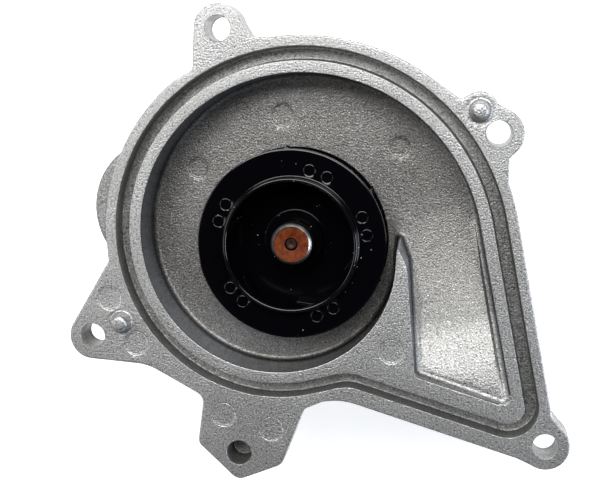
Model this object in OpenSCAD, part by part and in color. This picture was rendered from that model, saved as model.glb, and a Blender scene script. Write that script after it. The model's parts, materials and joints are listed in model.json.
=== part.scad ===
// Combustion air fan: a die-cast volute housing, a closed radial impeller and a brushless motor behind it.
// Millimetres. The shaft axis is Z, the sealing face of the flange is z = 0, and +Z faces the front.

/* [Volute] */
// Radius of the volute wall at the tongue
tongue_r = 27.3; // [26.8:0.1:29]
// Growth of the volute's radius in one full turn
volute_growth = 21.8; // [19:0.1:24]
// Depth of the volute floor below the flange face
volute_depth = 12.5; // [12.2:0.1:14]
// Thickness of the volute floor
floor_t = 3; // [2.5:0.1:4]
// Thickness of the volute side wall below the flange
volute_wall = 3; // [2:0.1:4]

/* [Outlet] */
// Angle between the outer outlet wall and the Y axis
outlet_lean = 11; // [9:0.5:13]
// Distance of the pocket's end wall from the shaft axis
outlet_end_d = 22.2; // [21:0.1:22.6]
// Depth of the outlet pocket at its far end
outlet_end_depth = 1.4; // [1:0.1:5]
// Slope of the flange's lower straight edge
lower_slope = 17; // [15:0.5:18]

/* [Flange] */
// Thickness of the flange and its lugs
flange_t = 8.2; // [7.6:0.1:10]
// Width of the land between the volute and the seal groove
land_w = 3; // [2.4:0.1:3.4]
// Width of the seal groove
groove_w = 3.5; // [2.8:0.1:4]
// Depth of the seal groove
groove_depth = 5; // [3:0.1:5.2]
// Width of the rim outside the seal groove
rim_w = 2.7; // [2.4:0.1:3.4]
// Width of the rim along the lower straight edge
lower_rim_w = 4; // [3:0.1:4.4]
// Radius of the rounds on the fixing lugs
lug_r = 6.1; // [5.6:0.1:6.6]
// Diameter of the fixing holes
fix_hole_d = 6.4; // [5.4:0.1:6.8]
// Depth of the blind fixing hole
blind_hole_depth = 8; // [4:0.1:8]
// Diameter of the locating pegs at the face
peg_base_d = 5.4; // [4.6:0.1:5.8]
// Diameter of the locating pegs at the tip
peg_tip_d = 4.2; // [3.4:0.1:4.5]
// Height of the locating pegs
peg_h = 3; // [2:0.1:4]

/* [Impeller] */
// Outer diameter of the impeller
impeller_d = 48; // [44:0.1:49]
// Diameter inside the inlet eye
eye_d = 32; // [30:0.1:33]
// Thickness of the lip round the eye
lip_t = 1; // [0.8:0.1:1.6]
// Height of the lip above the shroud
lip_h = 2.6; // [2.2:0.1:3]
// Depth of the shroud's face below the flange face
shroud_drop = 1; // [0.6:0.1:1.6]
// Thickness of the shroud
shroud_t = 1.4; // [1:0.1:1.8]
// Thickness of the backplate
backplate_t = 1.6; // [1.2:0.1:2]
// Gap between the backplate and the volute floor
backplate_gap = 1; // [0.7:0.1:1.5]
// Number of blades
blade_count = 6; // [5:1:8]
// Blade angle measured from the tangent
blade_angle = 23; // [20:1:30]
// Radius of the blades' leading edges
blade_start_r = 15; // [13:0.1:16]
// Thickness of a blade
blade_t = 1.2; // [0.8:0.1:1.5]
// Diameter of the plastic hub
hub_d = 14.8; // [13:0.1:16]
// Depth of the hub's face below the bush's end
hub_drop = 5.6; // [4:0.1:6.5]
// Diameter of the steel bush
bush_d = 10.6; // [9:0.1:11.4]

/* [Shaft and bearings] */
// Diameter of the shaft's nose in the bush
nose_d = 3; // [2.6:0.1:3.6]
// Diameter of the shaft and of the bearings' bores
shaft_d = 5; // [4:0.1:5.5]
// Outer diameter of the bearings
bearing_d = 16; // [14.6:0.1:17]
// Width of the bearings
bearing_w = 5; // [4.6:0.1:5.6]
// Diameter of the bearing balls
ball_d = 2.8; // [2.4:0.1:3]
// Number of balls in each bearing
ball_count = 7; // [5:1:8]
// Outer diameter of the shaft seal
seal_d = 12; // [10:0.1:13]
// Height of the shaft seal
seal_h = 3; // [2.2:0.1:3.4]

/* [Motor] */
// Outer diameter of the stator stack
stator_d = 50; // [48:0.1:52]
// Length of the stator stack
stack_h = 12; // [10:0.1:14]
// Diameter of the stator bore
stator_bore_d = 26; // [25:0.1:28]
// Number of stator teeth
tooth_count = 9; // [6:3:12]
// Width of a tooth's neck
tooth_w = 4.6; // [3.6:0.1:4.8]
// Radial air gap between magnets and teeth
air_gap = 0.4; // [0.3:0.05:0.6]
// Radial thickness of the magnets
magnet_t = 3; // [2:0.1:3.5]
// Number of magnet poles
pole_count = 4; // [2:2:8]
// Wall of the motor tube
tube_wall = 3; // [2.4:0.1:3.4]

/* [Rear housing] */
// Depth of the housing's rear rim below the flange face
rim_depth = 46.5; // [46:0.1:50]
// Inner diameter of the electronics tray
tray_d = 60; // [59:0.1:64]
// Wall of the electronics tray
tray_wall = 2.8; // [2.4:0.1:3.4]
// Outer radius of the round side boss
boss_r = 17.9; // [17.5:0.1:19]
// Depth of the side boss's face below the flange face
boss_drop = 2.5; // [1.5:0.1:4]
// Thickness of the cover gasket
gasket_t = 1; // [0.6:0.1:1.5]
// Thickness of the rear cover's edge
cover_edge_t = 2.5; // [2:0.1:3]
// Height of the rear cover's raised pan
pan_h = 3.5; // [2.6:0.1:4.5]
// Wall of the rear cover's pan
pan_wall = 2.5; // [2:0.1:3]
// Diameter of the cover screws' shanks
screw_d = 3; // [2.5:0.1:3.2]

/* [Electronics] */
// Thickness of the circuit board
board_t = 1.6; // [1:0.1:2]
// Gap between the circuit board and the tray's wall
board_gap = 0.5; // [0.3:0.1:1]
// Inner width of the connector socket
socket_w = 15; // [12:0.1:16]
// Inner height of the connector socket
socket_h = 10; // [8.8:0.1:10.4]
// Wall of the connector socket
socket_wall = 1.6; // [1.2:0.1:2]
// Length of the connector socket outside its flange
socket_len = 10; // [8:0.1:12]
// Number of connector pins
pin_count = 4; // [2:1:5]

/* [Hidden] */
$fn = 96;
fine = 0.02;       // overlap that joins two bodies
over = 1;          // how far a cut runs past a face

// Spiral of the volute wall. The angle a runs from tongue_a down to exit_a as the radius grows.
spiral_c = [-0.6, -0.5];
tongue_a = 350;
exit_a = 7;
spiral_step = 7;
function spiral_r(a) = tongue_r + volute_growth * (tongue_a - a) / 360;
function spiral_pt(a, off) = spiral_c + (spiral_r(a) + off) * [cos(a), sin(a)];
function spiral_run(a0, a1, off) =
  let (n = ceil(abs(a1 - a0) / spiral_step))
  [for (i = [0:n]) spiral_pt(a0 + (a1 - a0) * i / n, off)];

// Directions of the outlet's straight walls and their outward normals.
side_out = [cos(outlet_lean), sin(outlet_lean)];
lower_dir = [cos(lower_slope), -sin(lower_slope)];
lower_out = [-sin(lower_slope), -cos(lower_slope)];
side_d = spiral_pt(exit_a, 0) * side_out;
groove_lower_d = 26.45;

// Plane geometry helpers.
function unit(v) = v / norm(v);
function arc(c, r, a0, a1, n) = [for (i = [0:n]) c + r * [cos(a0 + (a1 - a0)
  * i / n), sin(a0 + (a1 - a0) * i / n)]];
function crossing(n1, d1, n2, d2) =
  let (det = n1.x * n2.y - n1.y * n2.x)
  [(d1 * n2.y - d2 * n1.y) / det, (n1.x * d2 - n2.x * d1) / det];
function angle_of(v) = atan2(v.y, v.x);
function turn(a0, a1) = let (d = a1 - a0) d > 180 ? d - 360 : d < -180 ? d + 360 : d;
// Rounds corner b of the path a, b, c with radius r, in n steps.
function fillet(a, b, c, r, n = 6) =
  let (u = unit(a - b), v = unit(c - b), half = acos(u * v) / 2, side = r / tan(half),
       centre = b + (r / sin(half)) * unit(u + v), p = b + side * u - centre, q = b + side * v - centre,
       start = angle_of(p), sweep = turn(start, angle_of(q)))
  [for (i = [0:n]) centre + r * [cos(start + sweep * i / n), sin(start + sweep * i / n)]];
function bezier(p0, p1, p2, p3, n) =
  [for (i = [1:n - 1]) let (t = i / n, s = 1 - t)
    s * s * s * p0 + 3 * s * s * t * p1 + 3 * s * t * t * p2 + t * t * t * p3];

// Outline that runs off outside the volute wall, with its lower straight edge lower_d from the axis.
blend_a = 281;
blend_x = 17.2;
blend_pull = 4;
corner_r = 1.2;
function side_corner(off, lower_d) = crossing(side_out, side_d + off, lower_out, lower_d);
function lower_pt(x, lower_d) =
  let (p = lower_d * lower_out) p + lower_dir * (x - p.x) / lower_dir.x;
function lower_blend(off, lower_d) =
  let (p0 = lower_pt(blend_x, lower_d), p3 = spiral_pt(blend_a, off), tangent = [sin(blend_a),
    -cos(blend_a)])
  concat([p0], bezier(p0, p0 - blend_pull * lower_dir, p3 - blend_pull * tangent, p3, 6));
function duct_outline(off, lower_d) = concat(
  spiral_run(blend_a, exit_a, off),
  fillet(spiral_pt(exit_a, off), side_corner(off, lower_d), lower_pt(blend_x, lower_d), corner_r + off),
  lower_blend(off, lower_d));
groove_inner = duct_outline(land_w, groove_lower_d);
groove_outer = duct_outline(land_w + groove_w, groove_lower_d + groove_w);
flange_off = land_w + groove_w + rim_w;
flange_lower_d = groove_lower_d + groove_w + lower_rim_w;

// Fixing holes and locating pegs, from the shaft axis.
top_hole = [-17.9, 53.4];
right_hole = [51, 28.1];
left_hole = [-51.7, -24.7];
corner_hole = [64.2, -49.6];
bottom_hole = [-13.5, -54.5];
through_holes = [top_hole, right_hole, left_hole, corner_hole];
pegs = [[46.3, 33.6], [-43.9, -20.8]];
peg_lug_r = 4.6;

// Flange outline, clockwise from the top lug, with rounded corners where the lugs meet the ring.
top_run = spiral_run(95, 48, flange_off);
right_run = spiral_run(17, exit_a, flange_off);
left_run = spiral_run(180, 125, flange_off);
top_round = arc(top_hole, lug_r, 183, 15, 12);
peg_round = arc(pegs[0], peg_lug_r, 118, 46, 6);
right_round = arc(right_hole, lug_r, 66, -36, 10);
corner_round = arc(corner_hole, lug_r, 52, -124, 12);
left_round = arc(left_hole, lug_r, -92, -212, 10);
foot = [[3.4, -42.4], [-2.3, -57.3], [-13.9, -62], [-24.3, -52.2], [-22.6, -39.9], [-37.3, -31.9]];
foot_r = [2.5, 3.5, 3, 2.4, 3, 14];
corner_top = crossing(side_out, side_d + flange_off, [0, 1], -42);
function foot_path(before, after) =
  let (p = concat([before], foot, [after]))
  [for (i = [0:len(foot) - 1]) each fillet(p[i], p[i + 1], p[i + 2], foot_r[i])];
flange_outline = concat(
  top_round,
  fillet(top_round[12], [-9.9, 51.4], top_run[0], 1.6),
  top_run,
  fillet(top_run[len(top_run) - 1], [41.6, 36.3], peg_round[0], 1.4),
  peg_round,
  fillet(peg_round[6], [50.9, 34.9], right_round[0], 0.8),
  right_round,
  fillet(right_round[10], [53.3, 21.6], right_run[0], 1.4),
  right_run,
  fillet(right_run[len(right_run) - 1], corner_top, corner_round[0], 3),
  corner_round,
  fillet(corner_round[12], lower_pt(57, flange_lower_d), lower_pt(blend_x, flange_lower_d), 4),
  lower_blend(flange_off, flange_lower_d),
  foot_path(spiral_pt(blend_a, flange_off), left_round[0]),
  left_round,
  fillet(left_round[10], [-46.7, -4.4], left_run[0], 2),
  left_run,
  fillet(left_run[len(left_run) - 1], [-24.4, 43.3], top_round[0], 2));

// Cavity of the volute and the outlet pocket.
tongue_tip = [26.7, 1.2];
inner_wall_top = [29.25, -4.8];
inner_wall_lean = 4.65;
inner_out = [-cos(inner_wall_lean), -sin(inner_wall_lean)];
inner_corner = crossing(inner_out, inner_wall_top * inner_out, lower_out, outlet_end_d);
outer_corner = side_corner(0, outlet_end_d);
cavity = concat(
  spiral_run(tongue_a, exit_a, 0),
  fillet(spiral_pt(exit_a, 0), outer_corner, inner_corner, corner_r),
  fillet(outer_corner, inner_corner, inner_wall_top, corner_r),
  fillet(inner_corner, inner_wall_top, tongue_tip, 10),
  fillet(inner_wall_top, tongue_tip, spiral_pt(tongue_a, 0), 0.35));

// Sloping floor of the outlet.
ramp_start = [26.12, -5.31];
ramp_turn = 9;
ramp_len = 33;
ramp_w = 34;
ramp_rise = volute_depth - outlet_end_depth;

// Levels along the shaft, all below the flange face.
floor_z = -volute_depth;
shell_z = floor_z - floor_t;
shroud_z = -shroud_drop;
plate_z = floor_z + backplate_gap;
bush_z = shroud_z - 0.6;
step_z = floor_z + 0.3;
seal_z = floor_z - 0.3;
seat_z = seal_z - seal_h - 1.5;
front_bearing_z = seat_z - bearing_w;
clip_t = 1;
clip_z = front_bearing_z - clip_t - 0.1;
hub_end_z = clip_z - 0.9;
stack_top_z = hub_end_z - 1;
stack_z = stack_top_z - stack_h;
insulator_t = 1;
tray_z = stack_z - 1.9;
rim_z = -rim_depth;
board_rear_gap = 0.7;
board_z = rim_z + board_rear_gap + board_t;
rear_seat_z = stack_z - 1.2;
rear_bearing_z = rear_seat_z - bearing_w;
washer_t = 0.4;
shaft_end_z = rear_bearing_z - 1.2;
cover_z = rim_z - gasket_t;
edge_z = cover_z - cover_edge_t;
pan_z = edge_z - pan_h;
pan_floor_z = pan_z + pan_wall;

// Rear housing in plan: the motor tube, the tray, the side boss and the square connector bay.
boss_c = [-33, 8.5];
bay_x0 = -44;
bay_x1 = -22;
bay_y = -24;
bay_top_z = -18;
tube_r = stator_d / 2 + tube_wall;
tray_r = tray_d / 2 + tray_wall;
boss_dir = angle_of(boss_c);
module slab(z0, z1) {
  translate([0, 0, z0]) linear_extrude(z1 - z0) children();
}
// Plan of the tray, off inside its outer face.
module tray_plan(off) {
  // The straight sides cut a little into both circles
  bite = 0.2;
  r1 = tray_r - off;
  r2 = boss_r - off;
  open_a = acos((r1 - r2) / norm(boss_c));
  up = [cos(boss_dir - open_a), sin(boss_dir - open_a)];
  low = [cos(boss_dir + open_a), sin(boss_dir + open_a)];
  circle(r1);
  translate(boss_c) circle(r2);
  polygon([(r1 - bite) * up, boss_c + (r2 - bite) * up, boss_c, boss_c + (r2 - bite)
    * low, (r1 - bite) * low, [0, 0]]);
  translate([bay_x0 + off, bay_y + off]) square([bay_x1 - bay_x0 - 2 * off, -bay_y - off]);
}
// Cover screws stand on the rim of the tray and the boss.
ear_r = 3.7;
ear_out = 1.2;
ear_h = 7.5;
tray_screw_a = [-122, -70, -18, 42, 96];
boss_screw_a = [118, 186];
screw_places = concat(
  [for (a = tray_screw_a) (tray_r + ear_out) * [cos(a), sin(a)]],
  [for (a = boss_screw_a) boss_c + (boss_r + ear_out) * [cos(a), sin(a)]],
  [[bay_x0 - ear_out, bay_y + 12]]);
module screw_ring() {
  for (p = screw_places) translate(p) children();
}
// Posts under the circuit board: three on the tray's floor and one on the boss's wall.
post_r = 2.3;
board_screw_d = 2;
tray_posts = [for (a = [-60, 15, 88]) (stator_d / 2 + post_r + 0.3) * [cos(a), sin(a)]];
boss_post = boss_c + (boss_r - tray_wall - post_r) * [cos(150), sin(150)];
post_places = concat(tray_posts, [boss_post]);

// Connector on the bay's lower wall.
socket_x = (bay_x0 + bay_x1) / 2;
socket_z = -29;
connector_flange_t = 2;
connector_seal_t = 1;
connector_face_y = bay_y - connector_seal_t;
connector_plug_w = socket_w + 0.4;
connector_plug_h = socket_h;
window_gap = 0.3;
pin_t = 0.8;
pin_pitch = 3;
pin_turn_y = -13;

// ---------------------------------------------------------------- housing

// Plan of the casting's shell round the volute and the outlet, volute_wall outside their walls
module shell_plan() {
  tongue_x = tongue_tip.x - volute_wall;
  inner_d = inner_wall_top * inner_out + volute_wall;
  end_d = outlet_end_d + volute_wall;
  polygon(spiral_run(tongue_a, exit_a, volute_wall));
  polygon([[tongue_x, tongue_tip.y + volute_wall], spiral_pt(exit_a, volute_wall),
    side_corner(volute_wall, end_d),
    crossing(inner_out, inner_d, lower_out, end_d), [tongue_x, inner_wall_top.y]]);
}

module ramp_wedge(drop) {
  // Solid below the sloping outlet floor, drop lower than the floor itself
  lead = 3;
  foot_z = floor_z - drop - lead * ramp_rise / ramp_len;
  top_z = -outlet_end_depth - drop;
  far = ramp_len + 12;
  low_z = foot_z - 12;
  translate([ramp_start.x, ramp_start.y, 0]) rotate([0, 0, ramp_turn]) rotate([90, 0, -90])
    translate([0, 0, -ramp_w]) linear_extrude(ramp_w)
      polygon([[-lead, foot_z], [ramp_len, top_z], [far, top_z], [far, low_z], [-lead, low_z]]);
}

module volute_body() {
  slab(-flange_t, 0) polygon(flange_outline);
  difference() {
    slab(shell_z, -flange_t + fine) shell_plan();
    ramp_wedge(floor_t);
  }
  for (p = pegs) translate([p.x, p.y, -fine]) cylinder(h = peg_h + fine, d1 = peg_base_d, d2 = peg_tip_d);
}

module volute_cuts() {
  difference() {
    slab(floor_z, over) polygon(cavity);
    ramp_wedge(0);
  }
  slab(-groove_depth, over) difference() {
    polygon(groove_outer);
    polygon(groove_inner);
  }
  for (p = through_holes) translate([p.x, p.y, -flange_t - over])
    cylinder(h = flange_t + 2 * over, d = fix_hole_d);
  translate([bottom_hole.x, bottom_hole.y, -blind_hole_depth])
    cylinder(h = blind_hole_depth + over, d = fix_hole_d);
}

module motor_tube() {
  slab(tray_z - fine, shell_z + fine) difference() {
    circle(tube_r);
    circle(stator_d / 2);
  }
  // Shoulder that the stator stops against
  slab(stack_top_z, shell_z + fine) difference() {
    circle(stator_d / 2 + fine);
    circle(stator_d / 2 - 1.5);
  }
  translate([0, 0, hub_end_z]) cylinder(h = shell_z - hub_end_z + fine, d = bearing_d + 6);
}

module rear_tray() {
  // Floor and wall of the tray
  difference() {
    slab(rim_z, tray_z + tray_wall) tray_plan(0);
    slab(rim_z - over, tray_z) tray_plan(tray_wall);
    slab(tray_z - fine, tray_z + tray_wall + over) circle(stator_d / 2);
  }
  for (p = tray_posts) translate([p.x, p.y, board_z]) cylinder(h = tray_z - board_z + fine, r = post_r);
  screw_ring() translate([0, 0, rim_z]) cylinder(h = ear_h, r = ear_r);
}

module boss_and_bay() {
  // Round side boss, hollow from behind, and the square bay that carries the connector
  difference() {
    union() {
      slab(tray_z, -boss_drop) translate(boss_c) circle(boss_r);
      slab(tray_z, bay_top_z) translate([bay_x0, bay_y]) square([bay_x1 - bay_x0, -bay_y]);
    }
    slab(tray_z - over, shell_z + 2 * over) circle(tube_r - fine);
    slab(shell_z, over) polygon(spiral_run(tongue_a, exit_a, volute_wall - fine));
    side_pockets();
  }
}

module side_pockets() {
  inner_r = boss_r - tray_wall;
  slab(tray_z - over, shell_z - tray_wall) difference() {
    union() {
      translate(boss_c) circle(inner_r);
      translate([bay_x0 + tray_wall, bay_y + tray_wall]) square([bay_x1 - bay_x0 - 2 * tray_wall,
        -bay_y - tray_wall]);
    }
    circle(tube_r);
  }
  slab(shell_z - tray_wall - fine, -flange_t - 0.6) difference() {
    translate(boss_c) circle(inner_r);
    polygon(spiral_run(tongue_a, exit_a, volute_wall));
  }
}

module connector_window() {
  translate([socket_x, bay_y + tray_wall / 2, socket_z])
    cube([connector_plug_w + 2 * window_gap, tray_wall + 2 * over, connector_plug_h + 2 * window_gap],
      center = true);
  connector_screw_ring() rotate([-90, 0, 0]) cylinder(h = tray_wall + over, d = board_screw_d, $fn = 32);
}

module volute_housing() {
  color("silver") difference() {
    union() {
      difference() {
        volute_body();
        volute_cuts();
      }
      motor_tube();
      difference() {
        union() {
          rear_tray();
          boss_and_bay();
        }
        side_pockets();
      }
      translate([boss_post.x, boss_post.y, board_z]) cylinder(h = bay_top_z - board_z, r = post_r + 0.2);
    }
    translate([0, 0, seal_z - seal_h]) cylinder(h = seal_h + over, d = seal_d);
    translate([0, 0, seat_z - over]) cylinder(h = 2 * over + 2, d = shaft_d + 3);
    translate([0, 0, hub_end_z - over]) cylinder(h = seat_z - hub_end_z + over, d = bearing_d);
    translate([0, 0, clip_z]) cylinder(h = clip_t, d = bearing_d + 1);
    screw_ring() translate([0, 0, rim_z - over]) cylinder(h = ear_h - 1 + over, d = screw_d, $fn = 32);
    for (p = post_places) translate([p.x, p.y, board_z - over])
      cylinder(h = 4 + over, d = board_screw_d, $fn = 32);
    connector_window();
  }
}

// ---------------------------------------------------------------- impeller

blade_end_r = impeller_d / 2 - 0.4;
blade_sweep = ln(blade_end_r / blade_start_r) / tan(blade_angle) * 180 / PI;
blade_first_a = 35;
blade_steps = 12;
function blade_pt(i, side) =
  let (t = i / blade_steps, r = blade_start_r * pow(blade_end_r / blade_start_r, t), a = blade_sweep * t,
       tangent = a + 90 - blade_angle)
  r * [cos(a), sin(a)] + side * blade_t / 2 * [cos(tangent + 90), sin(tangent + 90)];
blade_plan = concat([for (i = [0:blade_steps]) blade_pt(i, 1)], [for (i = [blade_steps:-1:0])
  blade_pt(i, -1)]);

module impeller_backplate() {
  hub_z = bush_z - hub_drop;
  color("#141416") union() {
    translate([0, 0, plate_z]) difference() {
      union() {
        cylinder(h = backplate_t, d = impeller_d, $fn = 128);
        cylinder(h = hub_z - plate_z, d = hub_d);
        translate([0, 0, backplate_t - fine]) cylinder(h = 1.6, d1 = hub_d + 3.2, d2 = hub_d);
      }
      translate([0, 0, -over]) cylinder(h = hub_z - plate_z + 2 * over, d = bush_d);
    }
    blade_z = plate_z + backplate_t - fine;
    for (i = [0:blade_count - 1]) rotate([0, 0, blade_first_a + i * 360 / blade_count])
      slab(blade_z, shroud_z - shroud_t) polygon(blade_plan);
  }
}

module impeller_shroud() {
  eye_r = eye_d / 2;
  lip_r = eye_r + lip_t;
  round_r = lip_t / 2;
  lip_top = lip_h - round_r;
  profile = concat(
    [[eye_r, -shroud_t]],
    arc([eye_r + round_r, lip_top], round_r, 180, 0, 8),
    arc([lip_r + 1, 1], 1, 180, 270, 4),
    arc([impeller_d / 2 - 0.4, -0.4], 0.4, 90, 0, 3),
    [[impeller_d / 2, -shroud_t]]);
  color("#101012") translate([0, 0, shroud_z]) rotate_extrude($fn = 128) polygon(profile);
}

module hub_bush() {
  chamfer = 0.6;
  color("#b0531f") translate([0, 0, step_z]) difference() {
    union() {
      cylinder(h = bush_z - step_z - chamfer, d = bush_d);
      translate([0, 0, bush_z - step_z - chamfer - fine]) cylinder(h = chamfer + fine, d1 = bush_d,
        d2 = bush_d - 2 * chamfer);
    }
    translate([0, 0, -over]) cylinder(h = bush_z - step_z + 2 * over, d = nose_d);
  }
}

module motor_shaft() {
  color("lightsteelblue") union() {
    translate([0, 0, shaft_end_z]) cylinder(h = step_z - shaft_end_z, d = shaft_d);
    translate([0, 0, step_z - fine]) cylinder(h = bush_z - 0.2 - step_z + fine, d = nose_d);
  }
}

// ---------------------------------------------------------------- seal and bearings

seal_case_t = 0.8;
module shaft_seal_case() {
  color("gray") translate([0, 0, seal_z - seal_h]) difference() {
    cylinder(h = seal_h, d = seal_d);
    translate([0, 0, seal_case_t]) cylinder(h = seal_h, d = seal_d - 2 * seal_case_t);
    translate([0, 0, -over]) cylinder(h = seal_h, d = shaft_d + 2.4);
  }
}

module shaft_seal_lip() {
  lip_r = shaft_d / 2 + 0.06;
  case_r = seal_d / 2 - seal_case_t;
  low = seal_case_t;
  color("#1c1c1c") translate([0, 0, seal_z - seal_h]) rotate_extrude()
    polygon([[case_r, low], [case_r, seal_h - 0.2], [case_r - 1.2, seal_h - 0.2], [lip_r + 0.5,
      low + 1.7],
      [lip_r, low + 1.3], [lip_r + 0.6, low + 0.6], [lip_r + 0.9, low]]);
}

pitch_r = (bearing_d + shaft_d) / 4;
race_r = ball_d / 2 + 0.05;
inner_land_r = pitch_r - ball_d / 2 + 0.1;
outer_land_r = pitch_r + ball_d / 2 - 0.1;
shield_t = 0.3;
shield_step = 0.35;

module raceway() {
  translate([0, 0, bearing_w / 2]) rotate_extrude() translate([pitch_r, 0]) circle(race_r, $fn = 48);
}

module outer_ring() {
  color("#c8ccd0") difference() {
    cylinder(h = bearing_w, d = bearing_d);
    translate([0, 0, -over]) cylinder(h = bearing_w + 2 * over, r = outer_land_r);
    for (z = [-over, bearing_w - shield_step]) translate([0, 0, z])
      cylinder(h = shield_step + over, r = outer_land_r + 0.4);
    raceway();
  }
}

module inner_ring() {
  color("#c8ccd0") difference() {
    cylinder(h = bearing_w, r = inner_land_r);
    translate([0, 0, -over]) cylinder(h = bearing_w + 2 * over, d = shaft_d);
    raceway();
  }
}

module balls() {
  color("white") for (i = [0:ball_count - 1]) rotate([0, 0, i * 360 / ball_count])
    translate([pitch_r, 0, bearing_w / 2]) sphere(d = ball_d, $fn = 32);
}

module ball_cage() {
  cage_h = ball_d + 1;
  cage_t = 1.2;
  color("#8a5a1c") translate([0, 0, (bearing_w - cage_h) / 2]) difference() {
    cylinder(h = cage_h, r = pitch_r + cage_t / 2);
    translate([0, 0, -over]) cylinder(h = cage_h + 2 * over, r = pitch_r - cage_t / 2);
    for (i = [0:ball_count - 1]) rotate([0, 0, i * 360 / ball_count])
      translate([pitch_r - 2, 0, cage_h / 2]) rotate([0, 90, 0])
        cylinder(h = 4, d = ball_d + 0.2, $fn = 32);
  }
}

module shields() {
  color("#a8acb0") for (z = [0.02, bearing_w - shield_t - 0.02]) translate([0, 0, z]) difference() {
    cylinder(h = shield_t, r = outer_land_r + 0.4);
    translate([0, 0, -over]) cylinder(h = shield_t + 2 * over, r = inner_land_r + 0.2);
  }
}

module at_front_bearing() {
  translate([0, 0, front_bearing_z]) children();
}

module at_rear_bearing() {
  translate([0, 0, rear_bearing_z]) children();
}

module front_bearing_circlip() {
  inner_r = bearing_d / 2 - 0.7;
  open_a = 14;
  color("#303438") translate([0, 0, clip_z + 0.02]) difference() {
    union() {
      difference() {
        cylinder(h = clip_t - 0.04, d = bearing_d + 1);
        translate([0, 0, -over]) cylinder(h = clip_t + 2 * over, r = inner_r);
      }
      for (s = [-1, 1]) rotate([0, 0, -90 + s * (open_a + 5)]) translate([inner_r - 0.4, 0, 0])
        cylinder(h = clip_t - 0.04, r = 1.1, $fn = 32);
    }
    for (s = [-1, 1]) rotate([0, 0, -90 + s * (open_a + 5)]) translate([inner_r - 0.6, 0, -over])
      cylinder(h = clip_t + 2 * over, r = 0.45, $fn = 24);
    rotate([0, 0, -90]) translate([bearing_d / 2, 0, 0])
      cube([4, 2 * bearing_d / 2 * sin(open_a), 2 * clip_t + over], center = true);
  }
}

module wave_washer() {
  // Ring that rises and falls three times round the bearing
  steps = 60;
  inner = pitch_r + 0.6;
  outer = bearing_d / 2 - 0.3;
  rise = 0.2;
  metal = 0.2;
  corners = [[inner, 0], [outer, 0], [outer, metal], [inner, metal]];
  wave = [for (i = [0:steps - 1], c = corners) let (a = i * 360 / steps)
    [c.x * cos(a), c.x * sin(a), c.y + rise / 2 * (1 + sin(3 * a))]];
  sides = [for (i = [0:steps - 1], k = [0:3]) let (j = (i + 1) % steps, m = (k + 1) % 4)
    [4 * i + k, 4 * i + m, 4 * j + m, 4 * j + k]];
  color("#9aa0a6") translate([0, 0, rear_bearing_z - washer_t]) polyhedron(wave, sides, convexity = 4);
}

// ---------------------------------------------------------------- motor

magnet_r = stator_bore_d / 2 - air_gap;
core_r = magnet_r - magnet_t;

module rotor_core() {
  color("#565b60") translate([0, 0, stack_z + 0.2]) difference() {
    cylinder(h = stack_h - 0.4, r = core_r);
    translate([0, 0, -over]) cylinder(h = stack_h + 2 * over, d = shaft_d);
    for (i = [0:pole_count - 1]) rotate([0, 0, i * 360 / pole_count]) translate([core_r * 0.62, 0, -over])
      cylinder(h = stack_h + 2 * over, r = 1.3, $fn = 32);
  }
}

module rotor_magnets() {
  color("#2e3033") translate([0, 0, stack_z + 0.2]) difference() {
    cylinder(h = stack_h - 0.4, r = magnet_r, $fn = 128);
    translate([0, 0, -over]) cylinder(h = stack_h + 2 * over, r = core_r);
    for (i = [0:pole_count - 1]) rotate([0, 0, (i + 0.5) * 360 / pole_count])
      translate([magnet_r - magnet_t / 2, 0, stack_h / 2])
      cube([magnet_t + 2, 0.4, stack_h + 2 * over], center = true);
  }
}

tooth_pitch = 360 / tooth_count;
shoe_t = 1.3;
yoke_t = 4;
yoke_r = stator_d / 2 - yoke_t;
bore_r = stator_bore_d / 2;
slot_mouth = 2.4;

module stator_slice(z0, z1, outer_d, yoke_in, spread) {
  // Ring with all its teeth, each neck and shoe spread wider on both sides
  mouth_a = asin((slot_mouth / 2 - spread) / bore_r);
  half_a = tooth_pitch / 2 - mouth_a;
  shoe_r = bore_r + shoe_t;
  neck_w = tooth_w + 2 * spread;
  shoe = concat(arc([0, 0], bore_r, -half_a, half_a, 8), [shoe_r * [cos(half_a - 2), sin(half_a - 2)],
    [shoe_r, neck_w / 2], [yoke_in + 0.6, neck_w / 2], [yoke_in + 0.6, -neck_w / 2], [shoe_r,
      -neck_w / 2],
    shoe_r * [cos(half_a - 2), -sin(half_a - 2)]]);
  slab(z0, z1) difference() {
    circle(d = outer_d);
    circle(yoke_in);
  }
  for (i = [0:tooth_count - 1]) rotate([0, 0, i * tooth_pitch]) slab(z0, z1) polygon(shoe);
}

module stator_core() {
  color("#74797e") union() stator_slice(stack_z, stack_top_z, stator_d, yoke_r, 0);
}

module insulator(z) {
  color("ivory") union() stator_slice(z, z + insulator_t, stator_d - 3.4, yoke_r - 0.6, 0.3);
}

module front_insulator() {
  insulator(stack_top_z);
}

module rear_insulator() {
  insulator(stack_z - insulator_t);
}

function round_rect(w, h, r) = concat(
  arc([w / 2 - r, h / 2 - r], r, 0, 90, 5), arc([r - w / 2, h / 2 - r], r, 90, 180, 5),
  arc([r - w / 2, r - h / 2], r, 180, 270, 5), arc([w / 2 - r, r - h / 2], r, 270, 360, 5));

module stator_windings() {
  coil_in_w = tooth_w + 0.8;
  coil_in_h = stack_h + 2 * insulator_t + 0.1;
  coil_t = 1.6;
  coil_r0 = bore_r + shoe_t + 0.7;
  coil_r1 = yoke_r - 1;
  color("#b4622a") for (i = [0:tooth_count - 1]) rotate([0, 0, i * tooth_pitch])
    translate([coil_r0, 0, (stack_z + stack_top_z) / 2]) rotate([90, 0, 90])
      linear_extrude(coil_r1 - coil_r0)
      difference() {
        polygon(round_rect(coil_in_w + 2 * coil_t, coil_in_h + 2 * coil_t, 2));
        square([coil_in_w, coil_in_h], center = true);
      }
}

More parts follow.
